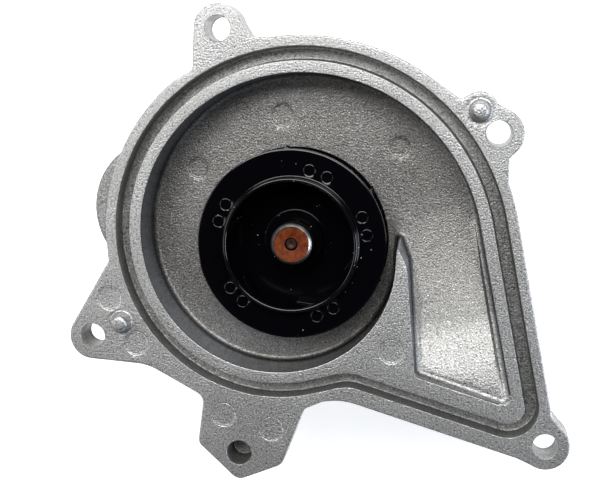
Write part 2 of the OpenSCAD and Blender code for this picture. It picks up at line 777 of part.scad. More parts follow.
phase_r = yoke_r + 0.4;
phase_a = [for (i = [0:2]) (i + 2.5) * tooth_pitch];
module phase_pins() {
  color("gold") for (a = phase_a) rotate([0, 0, a]) translate([phase_r, 0,
    (board_z - board_t - 1.2 + stack_z - insulator_t) / 2])
    cube([pin_t, pin_t, stack_z - insulator_t - board_z + board_t + 1.2], center = true);
}

// ---------------------------------------------------------------- electronics

board_rear_z = board_z - board_t;
board_hole_r = bearing_d / 2 + 3.6;
module circuit_board() {
  color("darkgreen") difference() {
    slab(board_rear_z, board_z) tray_plan(tray_wall + board_gap);
    translate([0, 0, board_rear_z - over]) cylinder(h = board_t + 2 * over, r = board_hole_r);
    for (p = post_places) translate([p.x, p.y, board_rear_z - over])
      cylinder(h = board_t + 2 * over, d = board_screw_d + 0.4, $fn = 32);
  }
}

hall_r = bore_r - 0.9;
hall_top_z = stack_z - 0.8;
module hall_sensors() {
  color("#202226") for (i = [0:2]) rotate([0, 0, 120 + i * 60]) {
    translate([hall_r - 0.7, -2, hall_top_z - 3]) cube([1.4, 4, 3]);
    for (y = [-1.27, 0, 1.27]) translate([hall_r - 0.2, y - 0.2, board_z])
      cube([0.4, 0.4, hall_top_z - 3 - board_z]);
  }
}

module power_transistors() {
  body = [6, 5, 1.8];
  color("#26282c") for (i = [0:5]) rotate([0, 0, -58 + i * 23])
    translate([21, 0, board_rear_z - body.z / 2])
    cube(body, center = true);
}

module control_chip() {
  color("#1e2024") translate([-22, 8, board_rear_z - 0.7]) cube([9, 9, 1.4], center = true);
}

capacitor_places = [boss_c + [-4, 5.2], boss_c + [-5.4, -4.8]];
choke_place = boss_c + [3.6, 9];
module capacitors() {
  color("#3a4a6a") for (p = capacitor_places) translate([p.x, p.y, board_z])
    cylinder(h = 13, d = 8, $fn = 48);
}

module filter_choke() {
  color("#55504a") translate([choke_place.x, choke_place.y, board_z]) {
    cylinder(h = 1.2, d = 7.6, $fn = 48);
    cylinder(h = 8, d = 6, $fn = 48);
    translate([0, 0, 6.8]) cylinder(h = 1.2, d = 7.6, $fn = 48);
  }
}

module screw(shank_d, length, head_d, head_h) {
  // Pan-head screw with a six-lobe recess, its head below z = 0
  difference() {
    union() {
      translate([0, 0, -fine]) cylinder(h = length + fine, d = shank_d, $fn = 32);
      translate([0, 0, -head_h]) cylinder(h = head_h, d = head_d, $fn = 48);
    }
    translate([0, 0, -head_h - over]) linear_extrude(over + head_h * 0.6)
      for (a = [0, 60, 120]) rotate(a) square([shank_d * 0.9, shank_d * 0.35], center = true);
  }
}

module board_screws() {
  color("#b8bcc2") for (p = post_places) translate([p.x, p.y, board_rear_z])
    screw(board_screw_d, board_t + 3.4, 3.8, 1.3);
}

// ---------------------------------------------------------------- connector

connector_flange_w = 20.6;
connector_flange_h = socket_h + 2 * socket_wall + 6.8;
connector_screw_x = 6;
connector_screw_dz = connector_flange_h / 2 - 1.6;

module connector_screw_ring() {
  for (s = [-1, 1]) translate([socket_x + s * connector_screw_x, bay_y,
    socket_z + s * connector_screw_dz]) children();
}

module in_socket(y) {
  // Plan in X and Z, extruded along +Y from y
  translate([socket_x, y, socket_z]) rotate([-90, 0, 0]) children();
}

module connector_body() {
  outer_w = socket_w + 2 * socket_wall;
  outer_h = socket_h + 2 * socket_wall;
  flange_y = connector_face_y - connector_flange_t;
  color("#1b1b1d") difference() {
    union() {
      in_socket(flange_y - socket_len) linear_extrude(socket_len + fine)
        polygon(round_rect(outer_w, outer_h, 2.4));
      in_socket(flange_y) linear_extrude(connector_flange_t)
        polygon(round_rect(connector_flange_w, connector_flange_h, 2));
      in_socket(connector_face_y - fine) linear_extrude(connector_seal_t + tray_wall + 2.5)
        polygon(round_rect(connector_plug_w, connector_plug_h, 1));
      translate([socket_x, flange_y - socket_len + 2.5, socket_z - outer_h / 2 - 0.4])
        cube([5, 3, 1.6], center = true);
    }
    in_socket(flange_y - socket_len - over) linear_extrude(socket_len + over)
      polygon(round_rect(socket_w, socket_h, 1.2));
    connector_screw_ring() translate([0, -connector_seal_t - connector_flange_t - over, 0])
      rotate([-90, 0, 0])
      cylinder(h = connector_flange_t + 2 * over, d = board_screw_d + 0.3, $fn = 32);
  }
}

module connector_pins() {
  tip_y = connector_face_y - connector_flange_t - socket_len + 2.5;
  foot_z = board_rear_z - 1;
  color("gold") for (i = [0:pin_count - 1]) translate([socket_x + (i - (pin_count - 1) / 2)
    * pin_pitch, 0, 0]) {
    translate([-pin_t / 2, tip_y, socket_z - pin_t / 2]) cube([pin_t, pin_turn_y - tip_y, pin_t]);
    translate([-pin_t / 2, pin_turn_y - pin_t, foot_z]) cube([pin_t, pin_t, socket_z - foot_z]);
  }
}

module connector_seal() {
  color("#2b5fa8") in_socket(connector_face_y) linear_extrude(connector_seal_t) difference() {
    polygon(round_rect(connector_plug_w + 3, connector_plug_h + 3, 2));
    polygon(round_rect(connector_plug_w, connector_plug_h, 1));
  }
}

module connector_screws() {
  color("#b8bcc2") connector_screw_ring() translate([0, -connector_seal_t - connector_flange_t, 0])
    rotate([-90, 0, 0])
    screw(board_screw_d, 5, 3.2, 1.2);
}

// ---------------------------------------------------------------- rear cover

module cover_plan(off) {
  tray_plan(off);
  if (off == 0) screw_ring() circle(ear_r);
}

module rear_cover() {
  seat_r = bearing_d / 2 + 2.6;
  color("silver") difference() {
    union() {
      slab(edge_z, cover_z) cover_plan(0);
      slab(pan_z, edge_z + fine) tray_plan(3.4);
      translate([0, 0, pan_floor_z - fine]) cylinder(h = rear_seat_z - pan_floor_z, r = seat_r);
    }
    difference() {
      slab(pan_floor_z, cover_z + over) tray_plan(3.4 + pan_wall);
      translate([0, 0, pan_floor_z - fine]) cylinder(h = rear_seat_z - pan_floor_z + over, r = seat_r);
    }
    translate([0, 0, rear_bearing_z - washer_t]) cylinder(h = bearing_w + washer_t + over, d = bearing_d);
    translate([0, 0, shaft_end_z - 0.8]) cylinder(h = 4, d = shaft_d + 3);
    screw_ring() translate([0, 0, edge_z - over]) cylinder(h = cover_edge_t + 2 * over, d =
      screw_d + 0.4, $fn = 32);
    screw_ring() translate([0, 0, pan_z - over]) cylinder(h = edge_z - pan_z + over, d = 6.8);
    translate([vent_c.x, vent_c.y, pan_z - over]) cylinder(h = vent_sink + over, d = vent_d + 2);
    translate([vent_c.x, vent_c.y, pan_z]) cylinder(h = pan_wall + over, d = vent_stem_d);
  }
}

vent_c = boss_c;
vent_d = 9;
vent_stem_d = 5;
vent_sink = 1.4;

module vent_plug() {
  color("#1b1b1d") translate([vent_c.x, vent_c.y, pan_z]) {
    translate([0, 0, 0.2]) cylinder(h = vent_sink - 0.2, d = vent_d, $fn = 64);
    cylinder(h = pan_wall + 0.8, d = vent_stem_d, $fn = 48);
  }
}

module cover_gasket() {
  color("#26282a") difference() {
    slab(cover_z, rim_z) difference() {
      union() {
        tray_plan(0.3);
        screw_ring() circle(ear_r - 0.3);
      }
      tray_plan(tray_wall - 0.2);
    }
    screw_ring() translate([0, 0, cover_z - over]) cylinder(h = gasket_t + 2 * over, d =
      screw_d + 0.4, $fn = 32);
  }
}

module cover_screws() {
  color("#b8bcc2") screw_ring() translate([0, 0, edge_z]) screw(screw_d,
    cover_edge_t + gasket_t + ear_h - 1.6, 5.6, 2);
}

volute_housing();
impeller_backplate();
impeller_shroud();
hub_bush();
motor_shaft();
shaft_seal_case();
shaft_seal_lip();
at_front_bearing() outer_ring();  // front_bearing_outer_ring
at_front_bearing() inner_ring();  // front_bearing_inner_ring
at_front_bearing() balls();  // front_bearing_balls
at_front_bearing() ball_cage();  // front_bearing_cage
at_front_bearing() shields();  // front_bearing_shields
front_bearing_circlip();
at_rear_bearing() outer_ring();  // rear_bearing_outer_ring
at_rear_bearing() inner_ring();  // rear_bearing_inner_ring
at_rear_bearing() balls();  // rear_bearing_balls
at_rear_bearing() ball_cage();  // rear_bearing_cage
at_rear_bearing() shields();  // rear_bearing_shields
wave_washer();
rotor_core();
rotor_magnets();
stator_core();
front_insulator();
rear_insulator();
stator_windings();
phase_pins();
circuit_board();
hall_sensors();
power_transistors();
control_chip();
capacitors();
filter_choke();
board_screws();
connector_body();
connector_pins();
connector_seal();
connector_screws();
rear_cover();
cover_gasket();
cover_screws();
vent_plug();
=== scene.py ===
"""A combustion fan: a die-cast volute housing with a black impeller, lying on its rear cover.

Lengths are in millimetres until a mesh is made. The shaft is the Z axis and z = 0 is the flange's face.
"""

import json
import math

import bmesh
import bpy
import numpy as np
from mathutils import Matrix, Vector
from mathutils.geometry import delaunay_2d_cdt


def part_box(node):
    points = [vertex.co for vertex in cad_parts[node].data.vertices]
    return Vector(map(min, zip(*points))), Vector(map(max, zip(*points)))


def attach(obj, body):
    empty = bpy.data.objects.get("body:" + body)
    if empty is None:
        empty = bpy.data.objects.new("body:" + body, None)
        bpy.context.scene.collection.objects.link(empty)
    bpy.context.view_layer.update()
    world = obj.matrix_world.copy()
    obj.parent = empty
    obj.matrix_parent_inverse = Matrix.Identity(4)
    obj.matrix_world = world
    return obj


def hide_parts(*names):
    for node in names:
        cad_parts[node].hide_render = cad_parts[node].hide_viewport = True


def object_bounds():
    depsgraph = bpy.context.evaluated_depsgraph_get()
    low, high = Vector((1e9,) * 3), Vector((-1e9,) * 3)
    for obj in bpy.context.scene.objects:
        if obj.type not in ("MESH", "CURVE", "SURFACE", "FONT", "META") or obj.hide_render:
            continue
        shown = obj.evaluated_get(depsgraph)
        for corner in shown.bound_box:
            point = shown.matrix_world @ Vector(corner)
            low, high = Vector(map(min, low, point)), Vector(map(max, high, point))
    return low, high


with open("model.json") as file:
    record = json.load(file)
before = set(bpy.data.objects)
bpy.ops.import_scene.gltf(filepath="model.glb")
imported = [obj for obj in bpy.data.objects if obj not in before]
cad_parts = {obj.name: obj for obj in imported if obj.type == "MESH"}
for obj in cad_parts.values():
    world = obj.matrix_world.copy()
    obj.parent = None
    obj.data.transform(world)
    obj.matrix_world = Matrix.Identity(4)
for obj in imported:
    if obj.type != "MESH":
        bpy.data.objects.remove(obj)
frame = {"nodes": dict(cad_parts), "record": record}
cad_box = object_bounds()
scene = bpy.context.scene
MM = 0.001

MOUNTS = {m["name"]: m for m in frame["record"]["mounts"]}


def mount_xy(name):
    return np.array(MOUNTS[name]["pos_m"][:2]) / MM


def node_z(node):
    """Lowest and highest level of a CAD node."""
    low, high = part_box(node)
    return low.z / MM, high.z / MM


# ------------------------------------------------------------------ sizes of the casting

# Volute wall: a spiral round a centre beside the shaft, from the tongue to the outlet's straight wall
SPIRAL_C = np.array([-0.6, -0.5])
TONGUE_R = 27.3
GROWTH = 21.8
TONGUE_A = 350
EXIT_A = 7
FLOOR_Z = -12.5
FLOOR_T = 3
SHELL_Z = FLOOR_Z - FLOOR_T
WALL_T = 3

# Outlet pocket
OUTLET_LEAN = 11
OUTLET_END_D = 22.2
OUTLET_END_Z = -1.1
LOWER_SLOPE = 17
TONGUE_TIP = np.array([26.65, 0.3])
TONGUE_FOOT = np.array([26.7, 2.0])
INNER_WALL_TOP = np.array([29.25, -4.8])
INNER_WALL_LEAN = 4.65
RAMP_START = np.array([26.12, -5.31])
RAMP_TURN = 9
RAMP_LEN = 33

# Flange, seal groove and lugs
FLANGE_T = MOUNTS["fixing_hole_top"]["dims"]["length_mm"]
LAND_W = 3
GROOVE_W = 3.5
GROOVE_Z = -5
RIM_W = 2.7
LOWER_RIM_W = 4
GROOVE_LOWER_D = 26.45
LUG_R = 6.1
PEG_LUG_R = 4.6
HOLE_R = MOUNTS["fixing_hole_top"]["dims"]["r_mm"]
BLIND_Z = -MOUNTS["fixing_hole_blind"]["dims"]["length_mm"]
TOP_HOLE = mount_xy("fixing_hole_top")
RIGHT_HOLE = mount_xy("fixing_hole_right")
LEFT_HOLE = mount_xy("fixing_hole_left")
CORNER_HOLE = mount_xy("fixing_hole_corner")
BLIND_HOLE = mount_xy("fixing_hole_blind")
PEGS = [mount_xy("locating_peg_right"), mount_xy("locating_peg_left")]
PEG_H = node_z("volute_housing")[1]
FOOT = [(3.4, -42.4), (-2.3, -57.3), (-13.9, -62), (-24.3, -52.2), (-22.6, -39.9), (-37.3, -31.9)]
FOOT_R = [2.5, 3.5, 3, 2.4, 3, 14]

# Rear of the casting
RIM_Z = node_z("cover_gasket")[1]
COVER_Z = node_z("cover_gasket")[0]
PAN_Z = node_z("rear_cover")[0]
COVER_EDGE_T = 2.5
COVER_WALL = 2.5
EDGE_Z = COVER_Z - COVER_EDGE_T
TRAY_Z = -39.2
TRAY_WALL = 2.8
TRAY_R = 32.8
TUBE_R = 28
BORE_R = 25
SHAFT_C = (0, 0)
SEAL_R = 6.0
BOSS_C = np.array([-33, 8.5])
BOSS_R = 17.9
BOSS_Z = -2.5
BAY = (-44, -24, -22, 0)
BAY_TOP_Z = -18
EAR_R = 3.7
EAR_OUT = 1.2
EAR_TOP_Z = -39
TRAY_SCREWS = (-122, -70, -18, 42, 96)
BOSS_SCREWS = (118, 186)

# Moulding marks of the ejector pins
FLANGE_MARKS = [(-47, -14.6), (-40.2, -26.3), (-17.4, -44.5), (-5, -47.8), (25.5, -26.6)]
FLANGE_MARK_R = 3.1
FLOOR_MARKS = [(-3.7, 31.8, 2.9), (26.5, 23.9, 2.5), (-26, 18, 2.6)]


# ------------------------------------------------------------------ plane geometry


def rad(a):
    return math.radians(a)


def unit(v):
    v = np.asarray(v, float)
    return v / np.linalg.norm(v)


def polar(r, a):
    return r * np.array([math.cos(rad(a)), math.sin(rad(a))])


def arc(c, r, a0, a1, n):
    return [np.asarray(c) + polar(r, a0 + (a1 - a0) * i / n) for i in range(n + 1)]


def crossing(n1, d1, n2, d2):
    return np.linalg.solve(np.array([n1, n2]), np.array([d1, d2]))


def fillet(a, b, c, r, n=12):
    """Arc of radius r that rounds corner b of the path a, b, c."""
    u, v = unit(np.asarray(a) - b), unit(np.asarray(c) - b)
    half = math.acos(np.clip(u @ v, -1, 1)) / 2
    centre = b + r / math.sin(half) * unit(u + v)
    p, q = b + r / math.tan(half) * u - centre, b + r / math.tan(half) * v - centre
    start = math.degrees(math.atan2(p[1], p[0]))
    sweep = math.degrees(math.atan2(q[1], q[0])) - start
    sweep = (sweep + 180) % 360 - 180
    return arc(centre, r, start, start + sweep, n)


def bezier(p0, p1, p2, p3, n):
    out = []
    for i in range(1, n):
        t = i / n
        s = 1 - t
        out.append(s**3 * p0 + 3 * s * s * t * p1 + 3 * s * t * t * p2 + t**3 * p3)
    return out


def clean(points, gap=0.03):
    """A closed outline as an array, anticlockwise, without points that nearly coincide."""
    p = np.array([np.asarray(q, float) for q in points])
    keep = np.linalg.norm(p - np.roll(p, 1, 0), axis=1) > gap
    p = p[keep]
    x, y = p.T
    area = np.sum(x * np.roll(y, -1) - np.roll(x, -1) * y)
    return p if area > 0 else p[::-1]


def grow(loop, d):
    """A closed anticlockwise outline moved outwards by d."""
    before = loop - np.roll(loop, 1, 0)
    after = np.roll(loop, -1, 0) - loop
    n1 = np.stack([before[:, 1], -before[:, 0]], 1) / np.linalg.norm(before, axis=1)[:, None]
    n2 = np.stack([after[:, 1], -after[:, 0]], 1) / np.linalg.norm(after, axis=1)[:, None]
    m = n1 + n2
    m /= np.linalg.norm(m, axis=1)[:, None]
    return loop + d * m / np.maximum((m * n1).sum(1), 0.6)[:, None]


def circle(c, r, n=48):
    a = np.arange(n) * 2 * math.pi / n
    return np.stack([c[0] + r * np.cos(a), c[1] + r * np.sin(a)], 1)


def inside(points, loops):
    """Which points lie inside an odd number of the loops."""
    odd = np.zeros(len(points), bool)
    x, y = points.T
    for loop in loops:
        nxt = np.roll(loop, -1, 0)
        for (x0, y0), (x1, y1) in zip(loop, nxt):
            if y0 == y1:
                continue
            crosses = ((y0 > y) != (y1 > y)) & (x < (x1 - x0) * (y - y0) / (y1 - y0) + x0)
            odd ^= crosses
    return odd


def spiral_r(a):
    return TONGUE_R + GROWTH * (TONGUE_A - a) / 360


def spiral_pt(a, off=0):
    return SPIRAL_C + polar(spiral_r(a) + off, a)


def spiral_run(a0, a1, off=0, step=2.0):
    n = math.ceil(abs(a1 - a0) / step)
    return [spiral_pt(a0 + (a1 - a0) * i / n, off) for i in range(n + 1)]


# Directions of the outlet's straight walls, and the place of its outer one
SIDE_OUT = polar(1, OUTLET_LEAN)
LOWER_DIR = polar(1, -LOWER_SLOPE)
LOWER_OUT = np.array([-math.sin(rad(LOWER_SLOPE)), -math.cos(rad(LOWER_SLOPE))])
INNER_OUT = -polar(1, INNER_WALL_LEAN)
SIDE_D = spiral_pt(EXIT_A) @ SIDE_OUT
BLEND_A = 281
BLEND_X = 17.2
BLEND_PULL = 4
CORNER_R = 1.2


def side_corner(off, lower_d):
    return crossing(SIDE_OUT, SIDE_D + off, LOWER_OUT, lower_d)


def lower_pt(x, lower_d):
    p = lower_d * LOWER_OUT
    return p + LOWER_DIR * (x - p[0]) / LOWER_DIR[0]


def lower_blend(off, lower_d):
    """From the lower straight edge, in one sweep, to the spiral."""
    p0, p3 = lower_pt(BLEND_X, lower_d), spiral_pt(BLEND_A, off)
    tangent = np.array([math.sin(rad(BLEND_A)), -math.cos(rad(BLEND_A))])
    return [p0] + bezier(p0, p0 - BLEND_PULL * LOWER_DIR, p3 - BLEND_PULL * tangent, p3, 12)


def duct_outline(off, lower_d):
    """Outline off outside the volute, with its lower straight edge at lower_d from the shaft."""
    corner = side_corner(off, lower_d)
    return clean(
        spiral_run(BLEND_A, EXIT_A, off)
        + fillet(spiral_pt(EXIT_A, off), corner, lower_pt(BLEND_X, lower_d), CORNER_R + off, 16)
        + lower_blend(off, lower_d)
    )


def flange_outline():
    """Rim, fixing lugs, peg lug and foot, anticlockwise from the top lug."""
    off, lower_d = LAND_W + GROOVE_W + RIM_W, GROOVE_LOWER_D + GROOVE_W + LOWER_RIM_W
    top_run, right_run = spiral_run(95, 48, off), spiral_run(17, EXIT_A, off)
    left_run = spiral_run(180, 125, off)
    top_round = arc(TOP_HOLE, LUG_R, 183, 15, 32)
    peg_round = arc(PEGS[0], PEG_LUG_R, 118, 46, 12)
    right_round = arc(RIGHT_HOLE, LUG_R, 66, -36, 20)
    corner_round = arc(CORNER_HOLE, LUG_R, 52, -124, 32)
    left_round = arc(LEFT_HOLE, LUG_R, -92, -212, 24)
    corner_top = crossing(SIDE_OUT, SIDE_D + off, np.array([0.0, 1.0]), -42)
    foot = [spiral_pt(BLEND_A, off)] + [np.array(p, float) for p in FOOT] + [left_round[0]]
    foot_run = []
    for i, r in enumerate(FOOT_R):
        foot_run += fillet(foot[i], foot[i + 1], foot[i + 2], r, 10)
    return clean(
        top_round
        + fillet(top_round[-1], (-9.9, 51.4), top_run[0], 1.6)
        + top_run
        + fillet(top_run[-1], (41.6, 36.3), peg_round[0], 1.4)
        + peg_round
        + fillet(peg_round[-1], (50.9, 34.9), right_round[0], 0.8)
        + right_round
        + fillet(right_round[-1], (53.3, 21.6), right_run[0], 1.4)
        + right_run
        + fillet(right_run[-1], corner_top, corner_round[0], 3)
        + corner_round
        + fillet(corner_round[-1], lower_pt(57, lower_d), lower_pt(BLEND_X, lower_d), 4)
        + lower_blend(off, lower_d)
        + foot_run
        + left_round
        + fillet(left_round[-1], (-46.7, -4.4), left_run[0], 2)
        + left_run
        + fillet(left_run[-1], (-24.4, 43.3), top_round[0], 2),
        0.12,
    )


def cavity_outline(tip):
    """Outline of the volute and the outlet pocket, with its tongue ending at tip."""
    pocket_r = 2.2
    inner_corner = crossing(INNER_OUT, INNER_WALL_TOP @ INNER_OUT, LOWER_OUT, OUTLET_END_D)
    outer_corner = side_corner(0, OUTLET_END_D)
    return clean(
        spiral_run(TONGUE_A, EXIT_A)
        + fillet(spiral_pt(EXIT_A), outer_corner, inner_corner, pocket_r, 14)
        + fillet(outer_corner, inner_corner, INNER_WALL_TOP, 1.6, 12)
        + fillet(inner_corner, INNER_WALL_TOP, tip, 8, 14)
        + fillet(INNER_WALL_TOP, tip, spiral_pt(TONGUE_A), 0.3, 10),
        0.001,
    )


def shell_outline(off):
    """Outline of the shell below the flange, off outside the walls of the volute and the outlet."""
    tongue_x = TONGUE_TIP[0] - off
    inner_d, end_d = INNER_WALL_TOP @ INNER_OUT + off, OUTLET_END_D + off
    inner_corner = crossing(INNER_OUT, inner_d, LOWER_OUT, end_d)
    around = spiral_run(TONGUE_A, EXIT_A, off)
    meet = [p for p in around if not (p[0] > tongue_x - 1 and -26 < p[1] < 5 and p[0] < 40)]
    out = meet[0] - SPIRAL_C
    root = crossing(INNER_OUT, inner_d, unit(out), np.linalg.norm(out) + 0.2)
    return clean(
        meet
        + fillet(meet[-1], side_corner(off, end_d), inner_corner, 3, 12)
        + fillet(side_corner(off, end_d), inner_corner, root, 2, 8)
        + [root + (inner_corner - root) * 0.1],
        0.1,
    )


def smooth_min(a, b, k):
    h = np.maximum(k - np.abs(a - b), 0) / k
    return np.minimum(a, b) - h * h * k / 4


def smooth_max(a, b, k):
    return -smooth_min(-a, -b, k)


def floor_z(points, margin=1.0):
    """Level of the volute floor, which rises along the outlet and stays low beyond its inner wall."""
    up = np.array([math.sin(rad(RAMP_TURN)), -math.cos(rad(RAMP_TURN))])
    along = (points - RAMP_START) @ up
    ramp = FLOOR_Z + along * (OUTLET_END_Z - FLOOR_Z) / RAMP_LEN
    rise = smooth_max(ramp, np.full(len(points), float(FLOOR_Z)), 5.5)
    rise = smooth_min(rise, np.full(len(points), float(OUTLET_END_Z)), 2.0)
    beyond = np.clip(((points - INNER_WALL_TOP) @ INNER_OUT - margin) / 3, 0, 1)
    return FLOOR_Z + (rise - FLOOR_Z) * (1 - beyond * beyond * (3 - 2 * beyond))


# ------------------------------------------------------------------ building meshes


class Skin:
    """A mesh put together from outlines at given levels."""

    def __init__(self):
        self.points = []
        self.faces = []

    def loop(self, outline, z):
        z = np.broadcast_to(np.asarray(z, float), len(outline))
        first = len(self.points)
        self.points += [(p[0], p[1], h) for p, h in zip(outline, z)]
        return list(range(first, len(self.points)))

    def plan(self, loops):
        """The loops seen along the shaft."""
        return [np.array([self.points[i][:2] for i in loop]) for loop in loops]

    def bridge(self, a, b):
        n = len(a)
        for i in range(n):
            j = (i + 1) % n
            self.faces.append((a[i], a[j], b[j], b[i]))

    def stack(self, levels):
        """Loops of one count joined in a row, each given as (outline, z): the first and the last one."""
        rows = [self.loop(outline, z) for outline, z in levels]
        for a, b in zip(rows, rows[1:]):
            self.bridge(a, b)
        return rows[0], rows[-1]

    def fill(self, loops, level=None, extra=()):
        """Flat or gently curved face between loops of this mesh, with extra points inside it."""
        ids = [i for loop in loops for i in loop]
        plan = self.plan(loops)
        coords = np.vstack(plan + ([np.asarray(extra)] if len(extra) else []))
        if len(extra):
            ids += self.loop(extra, level(np.asarray(extra)))
        edges, first = [], 0
        for loop in loops:
            n = len(loop)
            edges += [(first + i, first + (i + 1) % n) for i in range(n)]
            first += n
        out = delaunay_2d_cdt([Vector(p) for p in coords], edges, [], 0, 1e-7)
        spots = np.array([v[:] for v in out[0]])
        origin = [o[0] if o else None for o in out[3]]
        tris = [f for f in out[2] if all(origin[v] is not None for v in f)]
        centres = np.array([spots[list(f)].mean(0) for f in tris])
        for f, ok in zip(tris, inside(centres, plan)):
            if ok:
                self.faces.append(tuple(ids[origin[v]] for v in f))

    def lathe(self, profile, c=(0, 0), n=128, closed=True):
        """Profile of (radius, z) turned round a vertical axis at c."""
        rows = [self.loop(circle(c, r, n), z) for r, z in profile]
        pairs = list(zip(rows, rows[1:]))
        if closed:
            pairs.append((rows[-1], rows[0]))
        for a, b in pairs:
            self.bridge(a, b)
        return rows[0], rows[-1]

    def piece(self, name, body, material, replaces, smooth=40):
        """The mesh as an object that rides on a body and replaces CAD nodes."""
        mesh = bpy.data.meshes.new(name)
        bm = bmesh.new()
        verts = [bm.verts.new(Vector(p) * MM) for p in self.points]
        for f in self.faces:
            if len(set(f)) > 2:
                try:
                    bm.faces.new([verts[i] for i in f])
                except ValueError:
                    pass
        bmesh.ops.remove_doubles(bm, verts=bm.verts, dist=2e-6)
        bmesh.ops.dissolve_degenerate(bm, edges=bm.edges, dist=1e-7)
        loose = [v for v in bm.verts if not v.link_faces]
        bmesh.ops.delete(bm, geom=loose, context="VERTS")
        bmesh.ops.recalc_face_normals(bm, faces=bm.faces)
        bm.to_mesh(mesh)
        bm.free()
        obj = bpy.data.objects.new(name, mesh)
        scene.collection.objects.link(obj)
        mesh.shade_smooth()
        mesh.set_sharp_from_angle(angle=rad(smooth))
        mod = obj.modifiers.new("weighted", "WEIGHTED_NORMAL")
        mod.keep_sharp = True
        mod.weight = 80
        mesh.materials.append(material)
        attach(obj, body)
        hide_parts(*replaces)
        return obj


def circles(c, profile, n=64):
    """Levels of a turned shape about a vertical axis at c, from a profile of (radius, z)."""
    return [(circle(c, r, n), z) for r, z in profile]


def round_down(outline, z, r, steps=4):
    """Rounded top edge: from the face, r inside the outline, down to the wall, r below the face."""
    levels = []
    for i in range(steps + 1):
        a = rad(90 - 90 * i / steps)
        levels.append((grow(outline, -(r - r * math.cos(a))), z - r + r * math.sin(a)))
    return levels


def round_up(outline, z, r, steps=4):
    """Rounded lower edge, from the wall down to the underside."""
    levels = []
    for i in range(steps + 1):
        a = rad(90 * i / steps)
        levels.append((grow(outline, -(r - r * math.cos(a))), z + r - r * math.sin(a)))
    return levels


def bowl_foot(outline, z, r, steps=4):
    """Foot fillet of a pocket, from its wall to its floor at z."""
    levels = []
    for i in range(steps + 1):
        a = rad(90 * i / steps)
        levels.append((grow(outline, -r * (1 - math.cos(a))), z + r * (1 - math.sin(a))))
    return levels


def grid(low, high, step):
    """Points of a triangular grid."""
    rows = []
    y, k = low[1], 0
    while y <= high[1]:
        x = np.arange(low[0] + (k % 2) * step / 2, high[0], step)
        rows.append(np.stack([x, np.full(len(x), y)], 1))
        y += step * 0.866
        k += 1
    return np.vstack(rows)


def clear_of(points, loops, gap):
    """The points that stay at least gap away from the loops' edges."""
    keep = np.ones(len(points), bool)
    for loop in loops:
        for a, b in zip(loop, np.roll(loop, -1, 0)):
            d = b - a
            t = np.clip(((points - a) @ d) / max(d @ d, 1e-9), 0, 1)
            keep &= np.linalg.norm(points - a - t[:, None] * d, axis=1) > gap
    return points[keep]


def spread(plan, low, high, step, gap):
    """Grid points between the loops of a plan, clear of their edges."""
    points = grid(low, high, step)
    return clear_of(points[inside(points, plan)], plan, gap)


# ------------------------------------------------------------------ materials


